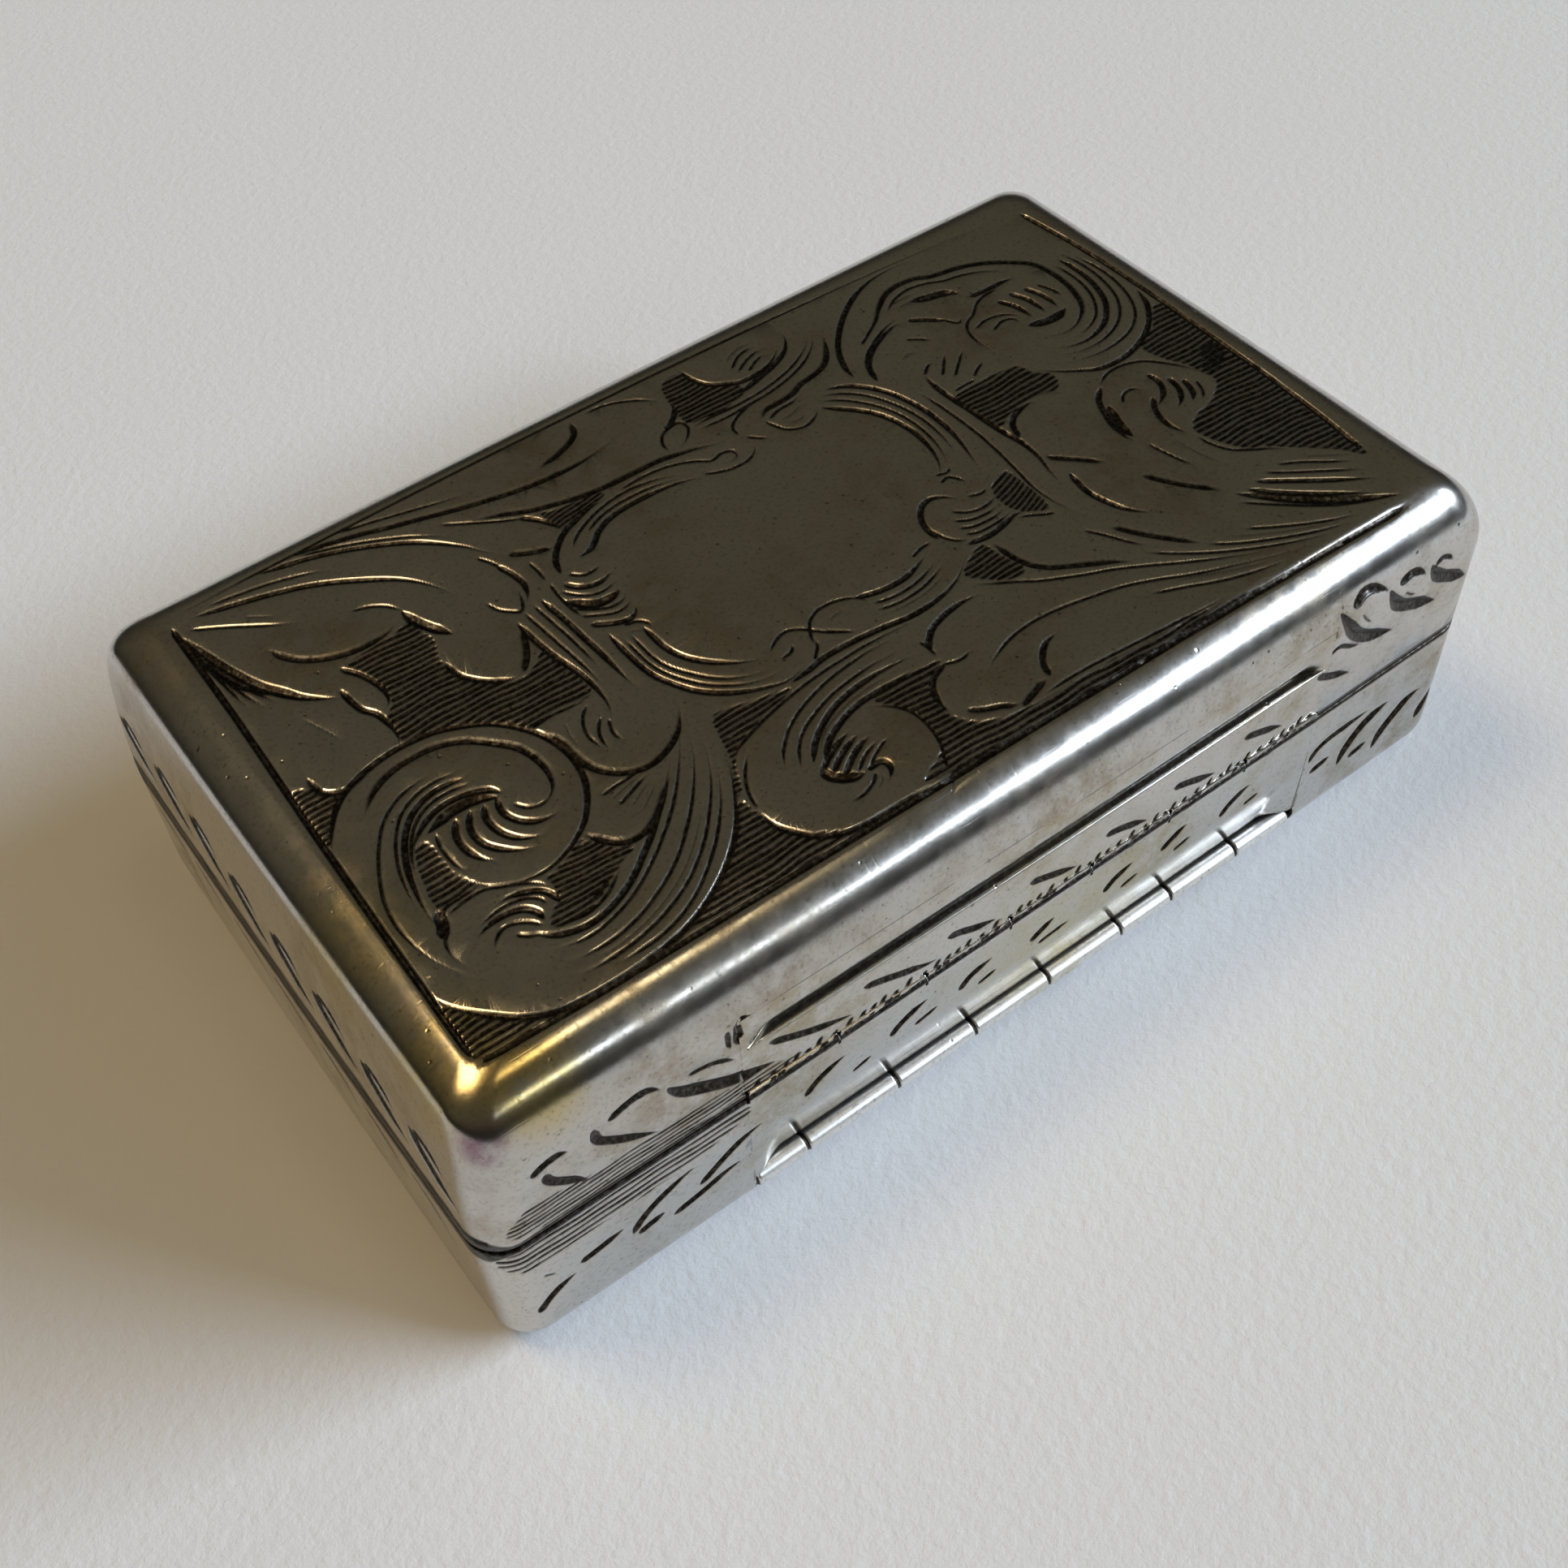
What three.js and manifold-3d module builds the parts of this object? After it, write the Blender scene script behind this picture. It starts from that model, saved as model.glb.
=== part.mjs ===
// Vinaigrette box: a small oblong silver box with a hinged lid, a hinged pierced
// grille and a sponge under it. Millimetres, +Z up, the long axis along X.
// The hinged long side faces -Y. The origin is the middle of the footprint, on the
// surface that the box stands on.
import * as THREE from 'three';
import { mergeVertices } from 'three/addons/utils/BufferGeometryUtils.js';
import Module from 'manifold-3d';

const wasm = await Module();
wasm.setup();

// ---------------------------------------------------------------- driving sizes
const LENGTH = 38.9;            // outside, along X
const WIDTH = 23.8;             // outside, along Y
const HEIGHT = 12.3;            // lid's flat top above the table
const PART_Z = 6.3;             // height of the parting line
const PART_GAP = 0.12;          // open gap between lid and base
const WALL = 0.55;              // sheet thickness
const CORNER_R = 1.2;           // plan corner radius at the walls
const BOW = 0.12;               // how far the long sides bow out at their middle
const BOW_SHORT = 0.08;         // the same on the short sides
const RIM_IN = 2.0;             // lid rim: how far it rounds in
const RIM_DOWN = 2.5;           // lid rim: how far down the round reaches
const FOOT_R = 1.4;             // round of the base's bottom edge
// The lid's left end leans in towards a tighter rim: height, and how far the face is set in there.
const LEFT_RIM = [[12.3, 2.0], [12.2, 1.6], [12.04, 1.2], [11.9, 0.95], [11.77, 0.8], [11.63, 0.7], [11.45, 0.63],
  [11.1, 0.55], [10.4, 0.42], [9.4, 0.28], [8.2, 0.14], [7.0, 0.04], [6.36, 0]];

const HINGE_X0 = -10.8;         // hinge strip, left end
const HINGE_X1 = 12.0;          // hinge strip, right end
const STRIP_DEPTH = 1.15;       // thickness of the hinge strips
const SEAT_GAP = 0.03;          // solder gap around let-in pieces
const LEDGE_Z = 8.68;           // the lid strip's ledge
const STRIP_TOP_Z = 10.2;       // where the lid's strip runs out into the rim
const LOW_COVE_Z = 3.9;         // where the base's cove begins
const STRIP_FOOT_Z = 0.63;      // lower end of the base strip
const AXIS_IN = 0.1;            // hinge axis, inside the wall's face
const KNUCKLE_R = 0.3;
const KNUCKLE_BORE_R = 0.16;
const PIN_R = 0.13;
const CHANNEL_R = 0.33;
const KNUCKLES = 7;
const KNUCKLE_GAP = 0.06;

const ROD_R = 0.36;             // segmented rod at the foot of the base's cove
const ROD_Z = 1.05;
const ROD_IN = 0.39;            // rod's centre, inside the wall's face
const ROD_NOTCHES = [-8.8, -5.25, -2.1, 1.0, 4.15, 6.4, 9.4];

const BEZEL_IN = 0.72;          // bezel's outer face, inside the wall's face
const BEZEL_T = 0.36;
const BEZEL_LOW_Z = 4.95;
const BEZEL_TOP_Z = 7.45;

const FRAME_Z = 4.15;           // seat frame of the grille
const FRAME_T = 0.6;
const GRILLE_Z = 4.82;          // grille plate
const GRILLE_T = 0.45;
const GRILLE_X = 16.4;          // half length
const GRILLE_Y0 = -8.42;        // edge beside its hinge
const GRILLE_Y1 = 9.45;         // free edge
const GRILLE_AXIS_Y = -9.05;
const GRILLE_AXIS_Z = 5.2;
const GRILLE_KNUCKLE_R = 0.42;

const THUMB_W = 7.2;            // thumbpiece on the lid's far side
const THUMB_OUT = 1.0;
const SHIFT_Y = -0.4;           // sets the origin in the middle of the footprint

// ---------------------------------------------------------------- materials
const silver = (c, r) => new THREE.MeshStandardMaterial({ color: c, roughness: r, metalness: 1 });
const M_LID = silver(0x9b938a, 0.3);
const M_BASE = silver(0xa8a29b, 0.32);
const M_STRIP = silver(0xb4aea5, 0.3);
const M_HINGE = silver(0x8c857c, 0.35);
const M_STEEL = silver(0x77736d, 0.4);
const M_GILT = new THREE.MeshStandardMaterial({ color: 0xc79a4b, roughness: 0.32, metalness: 1 });
const M_SPONGE = new THREE.MeshStandardMaterial({ color: 0xb08d57, roughness: 0.95, metalness: 0 });

// ---------------------------------------------------------------- helpers
function solid(geometry) {
  const g = geometry.clone();
  for (const k of Object.keys(g.attributes)) if (k !== 'position') g.deleteAttribute(k);
  const m = mergeVertices(g, 1e-4);
  return new wasm.Manifold(new wasm.Mesh({
    numProp: 3,
    vertProperties: new Float32Array(m.attributes.position.array),
    triVerts: new Uint32Array(m.index.array),
  }));
}

function geometryOf(manifold) {
  const m = manifold.getMesh();
  const g = new THREE.BufferGeometry();
  const pos = new Float32Array(m.numVert * 3);
  for (let i = 0; i < m.numVert; i += 1) {
    for (let k = 0; k < 3; k += 1) pos[3 * i + k] = m.vertProperties[i * m.numProp + k];
  }
  g.setAttribute('position', new THREE.BufferAttribute(pos, 3));
  g.setIndex(new THREE.BufferAttribute(new Uint32Array(m.triVerts), 1));
  g.computeVertexNormals();
  return g;
}

// A plan outline set in from the walls' face by `inset`: rounded corners, bowed sides.
function outline(inset, radius, leftInset = inset) {
  const hx = LENGTH / 2 - inset;
  const hl = LENGTH / 2 - leftInset;
  const hy = WIDTH / 2 - inset;
  const r = Math.max(radius, 0.15);
  const pts = [];
  const arc = 5;
  const corner = (cx, cy, a0) => {
    for (let i = 0; i <= arc; i += 1) {
      const a = a0 + (Math.PI / 2) * (i / arc);
      pts.push([cx + r * Math.cos(a), cy + r * Math.sin(a)]);
    }
  };
  const side = (x0, y0, x1, y1, n) => {
    for (let i = 1; i < n; i += 1) pts.push([x0 + (x1 - x0) * i / n, y0 + (y1 - y0) * i / n]);
  };
  corner(hx - r, hy - r, 0);
  side(hx - r, hy, -hl + r, hy, 8);
  corner(-hl + r, hy - r, Math.PI / 2);
  side(-hl, hy - r, -hl, -hy + r, 4);
  corner(-hl + r, -hy + r, Math.PI);
  side(-hl + r, -hy, hx - r, -hy, 8);
  corner(hx - r, -hy + r, 1.5 * Math.PI);
  side(hx, -hy + r, hx, hy - r, 4);
  return pts.map(([x, y]) => [
    x * (1 - (BOW_SHORT / (x < 0 ? hl : hx)) * (y / hy) ** 2),
    y * (1 - (BOW / hy) * (x / (x < 0 ? hl : hx)) ** 2),
  ]);
}

// A closed solid through rings of equal count, with both ends capped.
function loft(rings) {
  const n = rings[0].length;
  const pos = [];
  const idx = [];
  rings.forEach((ring) => ring.forEach((p) => pos.push(...p)));
  const id = (k, i) => k * n + (i % n);
  for (let k = 0; k + 1 < rings.length; k += 1) {
    for (let i = 0; i < n; i += 1) {
      idx.push(id(k, i), id(k, i + 1), id(k + 1, i + 1), id(k, i), id(k + 1, i + 1), id(k + 1, i));
    }
  }
  const cap = (k, flip) => {
    const c = [0, 0, 0];
    rings[k].forEach((p) => p.forEach((v, j) => { c[j] += v / n; }));
    const ci = pos.length / 3;
    pos.push(...c);
    for (let i = 0; i < n; i += 1) {
      if (flip) idx.push(ci, id(k, i + 1), id(k, i));
      else idx.push(ci, id(k, i), id(k, i + 1));
    }
  };
  cap(0, true);
  cap(rings.length - 1, false);
  let vol = 0;
  const v = (i) => new THREE.Vector3(pos[3 * i], pos[3 * i + 1], pos[3 * i + 2]);
  for (let i = 0; i < idx.length; i += 3) vol += v(idx[i]).dot(v(idx[i + 1]).cross(v(idx[i + 2])));
  if (vol < 0) for (let i = 0; i < idx.length; i += 3) [idx[i], idx[i + 1]] = [idx[i + 1], idx[i]];
  const g = new THREE.BufferGeometry();
  g.setAttribute('position', new THREE.Float32BufferAttribute(pos, 3));
  g.setIndex(idx);
  g.computeVertexNormals();
  return g;
}

const ringAt = (inset, radius, z, leftInset = inset) => outline(inset, radius, leftInset).map(([x, y]) => [x, y, z]);

function leftRimInset(z) {
  for (let i = 1; i < LEFT_RIM.length; i += 1) {
    const [z0, u0] = LEFT_RIM[i - 1];
    const [z1, u1] = LEFT_RIM[i];
    if (z >= z1) return u0 + (u1 - u0) * (Math.min(z, z0) - z0) / (z1 - z0);
  }
  return 0;
}

function block(x0, x1, y0, y1, z0, z1) {
  const g = new THREE.BoxGeometry(x1 - x0, y1 - y0, z1 - z0);
  g.translate((x0 + x1) / 2, (y0 + y1) / 2, (z0 + z1) / 2);
  return g;
}

// A profile in (depth inside the -Y face, height) run along X.
function strip(profile, x0, x1) {
  const shape = new THREE.Shape(profile.map(([u, z]) => new THREE.Vector2(-WIDTH / 2 + u, z)));
  const g = new THREE.ExtrudeGeometry(shape, { depth: x1 - x0, bevelEnabled: false });
  // shape x -> Y, shape y -> Z, depth -> X
  g.applyMatrix4(new THREE.Matrix4().set(0, 0, 1, x0, 1, 0, 0, 0, 0, 1, 0, 0, 0, 0, 0, 1));
  return g;
}

// A round bar along X.
function bar(r, x0, x1, y, z, n = 20) {
  const g = new THREE.CylinderGeometry(r, r, x1 - x0, n);
  g.rotateZ(Math.PI / 2);
  g.translate((x0 + x1) / 2, y, z);
  return g;
}

// A tube along X, as a turned profile closed on itself.
function tube(rOut, rIn, x0, x1, y, z, n = 20) {
  const b = Math.min(0.05, (rOut - rIn) * 0.3);
  const pts = [[rIn, x0], [rOut - b, x0], [rOut, x0 + b], [rOut, x1 - b], [rOut - b, x1], [rIn, x1], [rIn, x0]]
    .map(([r, h]) => new THREE.Vector2(r, h));
  const g = new THREE.LatheGeometry(pts, n);
  g.rotateZ(-Math.PI / 2);
  g.translate(0, y, z);
  return g;
}

function facingOut(geometry) {
  const m = solid(geometry);
  return geometryOf(m.volume() < 0 ? solid(flip(geometry)) : m);
}
function flip(geometry) {
  const g = geometry.index ? geometry.toNonIndexed() : geometry.clone();
  const p = g.attributes.position.array;
  for (let i = 0; i < p.length; i += 9) {
    for (let k = 0; k < 3; k += 1) [p[i + 3 + k], p[i + 6 + k]] = [p[i + 6 + k], p[i + 3 + k]];
  }
  return g;
}

const box = new THREE.Group();
box.position.y = SHIFT_Y;
function add(name, geometry, material) {
  const mesh = new THREE.Mesh(geometry, material);
  mesh.name = name;
  box.add(mesh);
  return mesh;
}

// ---------------------------------------------------------------- hinge line
const FACE_Y = -WIDTH / 2;
const AXIS_Y = FACE_Y + AXIS_IN;
const AXIS_Z = PART_Z;
const channel = solid(bar(CHANNEL_R, -LENGTH, LENGTH, AXIS_Y, AXIS_Z, 28));

// Relief along the whole hinged side, so that the edges outside the axis pass each other.
const relief = solid(strip([
  [-0.6, -1.05], [AXIS_IN, 0], [-0.6, 1.05],
].map(([u, z]) => [u, PART_Z + z]), -LENGTH, LENGTH));

// ---------------------------------------------------------------- lid
const LID_Z0 = PART_Z + PART_GAP / 2;
function lidCover() {
  const rings = [];
  const rim0 = HEIGHT - RIM_DOWN;
  // outside, from the edge of the flat top down to the parting line
  const steps = 9;
  for (let i = 0; i <= steps; i += 1) {
    const a = (Math.PI / 2) * (i / steps);
    const inset = RIM_IN * (1 - Math.sin(a));
    const z = rim0 + RIM_DOWN * Math.cos(a);
    rings.push(ringAt(inset, CORNER_R - 0.25 * inset, z, leftRimInset(z)));
  }
  [9.4, 8.2, 7.0].forEach((z) => rings.push(ringAt(0, CORNER_R, z, leftRimInset(z))));
  rings.push(ringAt(0, CORNER_R, LID_Z0));
  // inside, from the parting line up to the underside of the top
  [LID_Z0, 7.0, 8.2].forEach((z) => rings.push(ringAt(WALL, CORNER_R - WALL * 0.6, z, WALL + leftRimInset(z))));
  const inIn = RIM_IN - WALL * 0.5;
  for (let i = 0; i <= 5; i += 1) {
    const a = (Math.PI / 2) * (1 - i / 5);
    const inset = WALL + inIn * (1 - Math.sin(a));
    const z = rim0 + (RIM_DOWN - WALL) * Math.cos(a);
    rings.push(ringAt(inset, CORNER_R - 0.3 - 0.2 * inset, z, inset + Math.min(leftRimInset(z), 0.5)));
  }
  let m = solid(loft(rings));
  m = m.subtract(solid(block(HINGE_X0 - SEAT_GAP, HINGE_X1 + SEAT_GAP, FACE_Y - 2,
    FACE_Y + STRIP_DEPTH + SEAT_GAP, PART_Z - 1, STRIP_TOP_Z + SEAT_GAP)));
  return m.subtract(relief);
}
add('lid_cover', geometryOf(lidCover()), M_LID);

const lidStrip = solid(strip([
  [0, LID_Z0], [STRIP_DEPTH, LID_Z0], [STRIP_DEPTH, STRIP_TOP_Z], [0.06, STRIP_TOP_Z],
  [0.04, 9.55], [0.09, 9.3], [0.2, 9.02], [0.34, 8.8], [0.4, LEDGE_Z],
  [0.06, LEDGE_Z], [0, LEDGE_Z - 0.06],
], HINGE_X0, HINGE_X1));
add('lid_hinge_bearer', geometryOf(lidStrip.subtract(channel)), M_STRIP);

// ---------------------------------------------------------------- base
const BASE_Z1 = PART_Z - PART_GAP / 2;
function baseShell() {
  const rings = [];
  const steps = 7;
  for (let i = 0; i <= steps; i += 1) {
    const a = (Math.PI / 2) * (i / steps);
    const inset = FOOT_R * (1 - Math.sin(a));
    rings.push(ringAt(inset, CORNER_R - 0.25 * inset, FOOT_R * (1 - Math.cos(a))));
  }
  rings.push(ringAt(0, CORNER_R, BASE_Z1));
  rings.push(ringAt(WALL, CORNER_R - WALL * 0.6, BASE_Z1));
  const r = FOOT_R - WALL * 0.6;
  for (let i = 0; i <= 5; i += 1) {
    const a = (Math.PI / 2) * (1 - i / 5);
    const inset = WALL + r * (1 - Math.sin(a));
    rings.push(ringAt(inset, CORNER_R - 0.3 - 0.2 * inset, WALL + r * (1 - Math.cos(a))));
  }
  let m = solid(loft(rings));
  m = m.subtract(solid(block(HINGE_X0 - SEAT_GAP, HINGE_X1 + SEAT_GAP, FACE_Y - 2,
    FACE_Y + STRIP_DEPTH + SEAT_GAP, STRIP_FOOT_Z - SEAT_GAP, PART_Z + 1)));
  return m.subtract(relief);
}
add('base_shell', geometryOf(baseShell()), M_BASE);

const baseStrip = solid(strip([
  [0, BASE_Z1], [0, LOW_COVE_Z], [0.08, 3.45], [0.18, 3.0], [0.3, 2.5], [0.4, 2.05], [0.47, 1.6],
  [ROD_IN + ROD_R + SEAT_GAP, 1.45], [ROD_IN + ROD_R + SEAT_GAP, STRIP_FOOT_Z],
  [STRIP_DEPTH, STRIP_FOOT_Z], [STRIP_DEPTH, BASE_Z1],
], HINGE_X0, HINGE_X1));
add('base_hinge_bearer', geometryOf(baseStrip.subtract(channel)), M_STRIP);

// Rod with saw-cut notches, at the foot of the base's cove.
{
  const x0 = HINGE_X0 + 0.04;
  const x1 = HINGE_X1 - 0.04;
  const pts = [[0, x0], [ROD_R - 0.06, x0], [ROD_R, x0 + 0.06]];
  ROD_NOTCHES.forEach((x) => pts.push([ROD_R, x - 0.13], [ROD_R - 0.13, x - 0.05], [ROD_R - 0.13, x + 0.05], [ROD_R, x + 0.13]));
  pts.push([ROD_R, x1 - 0.06], [ROD_R - 0.06, x1], [0, x1]);
  const g = new THREE.LatheGeometry(pts.map(([r, h]) => new THREE.Vector2(r, h)), 14);
  g.rotateZ(-Math.PI / 2);
  g.translate(0, FACE_Y + ROD_IN, ROD_Z);
  add('base_bead_rod', facingOut(g), M_STRIP);
}

// Knuckles in turn on the base and the lid, and their pin.
{
  const pitch = (HINGE_X1 - HINGE_X0) / KNUCKLES;
  let onBase = 0;
  let onLid = 0;
  for (let i = 0; i < KNUCKLES; i += 1) {
    const x0 = HINGE_X0 + i * pitch + KNUCKLE_GAP / 2;
    const x1 = HINGE_X0 + (i + 1) * pitch - KNUCKLE_GAP / 2;
    const g = facingOut(tube(KNUCKLE_R, KNUCKLE_BORE_R, x0, x1, AXIS_Y, AXIS_Z));
    if (i % 2 === 0) { onBase += 1; add(`base_knuckle_${onBase}`, g, M_HINGE); }
    else { onLid += 1; add(`lid_knuckle_${onLid}`, g, M_HINGE); }
  }
  add('lid_hinge_pin', facingOut(bar(PIN_R, HINGE_X0 + 0.05, HINGE_X1 - 0.05, AXIS_Y, AXIS_Z, 16)), M_STEEL);
}

// Lip that the lid shuts over; it stops short of the hinge strips.
{
  const low = ringAt(BEZEL_IN, CORNER_R - 0.5, BEZEL_LOW_Z);
  const top = ringAt(BEZEL_IN, CORNER_R - 0.5, BEZEL_TOP_Z - 0.18);
  const edge = ringAt(BEZEL_IN + 0.1, CORNER_R - 0.55, BEZEL_TOP_Z);
  const outer = solid(loft([low, top, edge]));
  const inner = solid(loft([
    ringAt(BEZEL_IN + BEZEL_T, CORNER_R - 0.75, BEZEL_LOW_Z - 1),
    ringAt(BEZEL_IN + BEZEL_T, CORNER_R - 0.75, BEZEL_TOP_Z + 1),
  ]));
  const ring = outer.subtract(inner).subtract(solid(block(HINGE_X0 - 0.35, HINGE_X1 + 0.35, FACE_Y - 1, -6, 0, 12)));
  add('base_bezel', geometryOf(ring), M_BASE);
}

// Thumbpiece on the far long side of the lid.
{
  const s = new THREE.Shape();
  const w = THUMB_W / 2;
  s.moveTo(-w, 0);
  s.lineTo(w, 0);
  s.bezierCurveTo(w * 0.75, 0.05, w * 0.55, THUMB_OUT * 0.75, w * 0.25, THUMB_OUT);
  s.lineTo(-w * 0.25, THUMB_OUT);
  s.bezierCurveTo(-w * 0.55, THUMB_OUT * 0.75, -w * 0.75, 0.05, -w, 0);
  const g = new THREE.ExtrudeGeometry(s, { depth: 1.2, bevelEnabled: false, curveSegments: 6 });
  g.translate(0, WIDTH / 2 + 0.03, LID_Z0 + 0.15);
  add('lid_thumbpiece', facingOut(g), M_STRIP);
}

// ---------------------------------------------------------------- grille
// Ledge inside the base that carries the grille.
{
  const outer = solid(loft([
    ringAt(BEZEL_IN + 0.02, CORNER_R - 0.5, FRAME_Z),
    ringAt(BEZEL_IN + 0.02, CORNER_R - 0.5, FRAME_Z + FRAME_T),
  ]));
  const hole = solid(block(-15.2, 15.2, -7.3, 8.2, FRAME_Z - 1, FRAME_Z + FRAME_T + 1));
  const cutHinge = solid(block(-LENGTH, LENGTH, FACE_Y - 1, FACE_Y + STRIP_DEPTH + 0.08, 0, 12));
  add('grille_seat_frame', geometryOf(outer.subtract(hole).subtract(cutHinge)), M_GILT);
}

// Pierced plate: rows of leaf-shaped and round holes about a middle flower.
{
  const s = new THREE.Shape();
  const r = 1.0;
  const x1 = GRILLE_X;
  s.moveTo(-x1, GRILLE_Y0);
  s.lineTo(x1, GRILLE_Y0);
  s.lineTo(x1, GRILLE_Y1 - r);
  s.absarc(x1 - r, GRILLE_Y1 - r, r, 0, Math.PI / 2, false);
  s.lineTo(-x1 + r, GRILLE_Y1);
  s.absarc(-x1 + r, GRILLE_Y1 - r, r, Math.PI / 2, Math.PI, false);
  s.closePath();
  const leaf = (cx, cy, len, wid, ang) => {
    const p = new THREE.Path();
    const n = 10;
    const pts = [];
    for (let i = 0; i < n; i += 1) {
      const t = (i / n) * 2 * Math.PI;
      const u = (len / 2) * Math.cos(t);
      const w = (wid / 2) * Math.sin(t) * (1 - 0.35 * Math.cos(t));
      pts.push(new THREE.Vector2(cx + u * Math.cos(ang) - w * Math.sin(ang), cy + u * Math.sin(ang) + w * Math.cos(ang)));
    }
    p.setFromPoints(pts);
    p.closePath();
    s.holes.push(p);
  };
  const my = (GRILLE_Y0 + GRILLE_Y1) / 2;
  for (let i = 0; i < 8; i += 1) {
    const a = (i / 8) * 2 * Math.PI;
    leaf(2.7 * Math.cos(a), my + 2.7 * Math.sin(a), 2.6, 1.15, a);
  }
  for (const sx of [-1, 1]) {
    for (const sy of [-1, 1]) {
      leaf(sx * 6.6, my + sy * 2.1, 3.4, 1.5, sx * sy * 0.75);
      leaf(sx * 6.0, my + sy * 5.3, 3.4, 1.4, sx * sy * -0.35);
      leaf(sx * 10.2, my + sy * 4.6, 3.4, 1.5, sx * sy * 0.6);
      leaf(sx * 10.3, my + sy * 1.3, 2.6, 1.2, sx * sy * -0.5);
      leaf(sx * 13.4, my + sy * 2.6, 2.8, 1.3, sx * sy * 1.2);
      leaf(sx * 13.7, my + sy * 5.9, 1.7, 1.3, sx * sy * 0.7);
      leaf(sx * 2.0, my + sy * 6.4, 2.4, 1.2, sx * sy * 0.25);
    }
    leaf(sx * 13.9, my, 1.5, 1.5, 0);
  }
  const g = new THREE.ExtrudeGeometry(s, { depth: GRILLE_T, bevelEnabled: false, curveSegments: 4 });
  g.translate(0, 0, GRILLE_Z);
  add('grille_plate', facingOut(g), M_GILT);
}

// Lift tab on the grille's free edge.
{
  const s = new THREE.Shape();
  s.absarc(0, 0, 1.0, 0, Math.PI, false);
  s.closePath();
  const g = new THREE.ExtrudeGeometry(s, { depth: 0.4, bevelEnabled: false, curveSegments: 8 });
  g.rotateX(Math.PI / 2);
  g.translate(0, GRILLE_Y1 - 0.3, GRILLE_Z + GRILLE_T + 0.03);
  add('grille_lift_tab', facingOut(g), M_GILT);
}

// Grille hinge: one knuckle with a leaf on the plate, two on the seat frame, one pin.
{
  const y = GRILLE_AXIS_Y;
  const z = GRILLE_AXIS_Z;
  const k = GRILLE_KNUCKLE_R;
  const mid = solid(tube(k, KNUCKLE_BORE_R, -3.4, 3.4, y, z));
  const midLeaf = solid(block(-3.4, 3.4, y + 0.3, GRILLE_Y0 - 0.03, GRILLE_Z + 0.06, GRILLE_Z + GRILLE_T - 0.02));
  const bore = solid(bar(KNUCKLE_BORE_R, -4, 4, y, z, 20));
  add('grille_knuckle', geometryOf(mid.add(midLeaf.subtract(bore))), M_GILT);
  const sideKnuckle = (x0, x1) => {
    const t = solid(tube(k, KNUCKLE_BORE_R, x0, x1, y, z));
    const foot = solid(block(x0, x1, y - 0.3, y + 0.2, FRAME_Z + FRAME_T + 0.02, z - 0.3));
    return geometryOf(t.add(foot.subtract(solid(bar(KNUCKLE_BORE_R, x0 - 1, x1 + 1, y, z, 20)))));
  };
  add('base_grille_knuckle_left', sideKnuckle(-7.4, -3.48), M_GILT);
  add('base_grille_knuckle_right', sideKnuckle(3.48, 7.4), M_GILT);
  add('grille_pin', facingOut(bar(PIN_R, -7.3, 7.3, y, z, 16)), M_STEEL);
}

// ---------------------------------------------------------------- sponge
{
  const s = new THREE.Shape();
  const hx = 15.6;
  const hy = 8.2;
  const r = 1.8;
  s.moveTo(-hx + r, -hy);
  s.lineTo(hx - r, -hy);
  s.absarc(hx - r, -hy + r, r, -Math.PI / 2, 0, false);
  s.lineTo(hx, hy - r);
  s.absarc(hx - r, hy - r, r, 0, Math.PI / 2, false);
  s.lineTo(-hx + r, hy);
  s.absarc(-hx + r, hy - r, r, Math.PI / 2, Math.PI, false);
  s.lineTo(-hx, -hy + r);
  s.absarc(-hx + r, -hy + r, r, Math.PI, 1.5 * Math.PI, false);
  const g = new THREE.ExtrudeGeometry(s, { depth: 3.1, bevelEnabled: false, curveSegments: 4 });
  g.translate(0, 0.3, 0.75);
  add('sponge', facingOut(g), M_SPONGE);
}

export default box;
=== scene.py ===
import math

import bpy
import numpy as np
from mathutils import Matrix, Vector


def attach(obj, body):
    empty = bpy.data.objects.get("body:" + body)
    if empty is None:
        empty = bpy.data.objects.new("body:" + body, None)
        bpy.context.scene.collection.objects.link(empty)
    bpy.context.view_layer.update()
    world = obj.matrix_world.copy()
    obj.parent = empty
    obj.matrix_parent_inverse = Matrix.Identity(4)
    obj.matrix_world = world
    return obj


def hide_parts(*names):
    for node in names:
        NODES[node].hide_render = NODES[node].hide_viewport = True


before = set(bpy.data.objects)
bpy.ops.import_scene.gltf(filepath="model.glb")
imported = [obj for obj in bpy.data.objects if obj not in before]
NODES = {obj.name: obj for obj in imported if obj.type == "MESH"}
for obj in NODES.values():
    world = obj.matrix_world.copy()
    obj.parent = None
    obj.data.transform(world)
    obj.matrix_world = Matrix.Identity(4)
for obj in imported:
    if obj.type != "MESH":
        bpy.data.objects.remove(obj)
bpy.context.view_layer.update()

# ------------------------------------------------------------------ sizes, in mm, about the middle of the box's plan
LENGTH, WIDTH, HEIGHT = 38.9, 23.8, 12.3
PART_Z, PART_GAP = 6.3, 0.12
LID_Z0, BASE_Z1 = PART_Z + PART_GAP / 2, PART_Z - PART_GAP / 2
WALL, CORNER_R = 0.55, 1.2
BOW, BOW_SHORT = 0.12, 0.08
RIM_IN, RIM_DOWN, FOOT_R = 2.0, 2.5, 1.4
HINGE_X0, HINGE_X1 = -10.8, 12.0
STRIP_DEPTH, SEAT_GAP = 1.15, 0.03
LEDGE_Z, STRIP_TOP_Z, LOW_COVE_Z, STRIP_FOOT_Z = 8.68, 10.2, 3.9, 0.63
FACE_Y = -WIDTH / 2
AXIS_IN, KNUCKLE_R, KNUCKLE_BORE_R, PIN_R, CHANNEL_R = 0.1, 0.3, 0.16, 0.13, 0.33
ROD_R, ROD_Z, ROD_IN = 0.36, 1.05, 0.39
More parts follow.
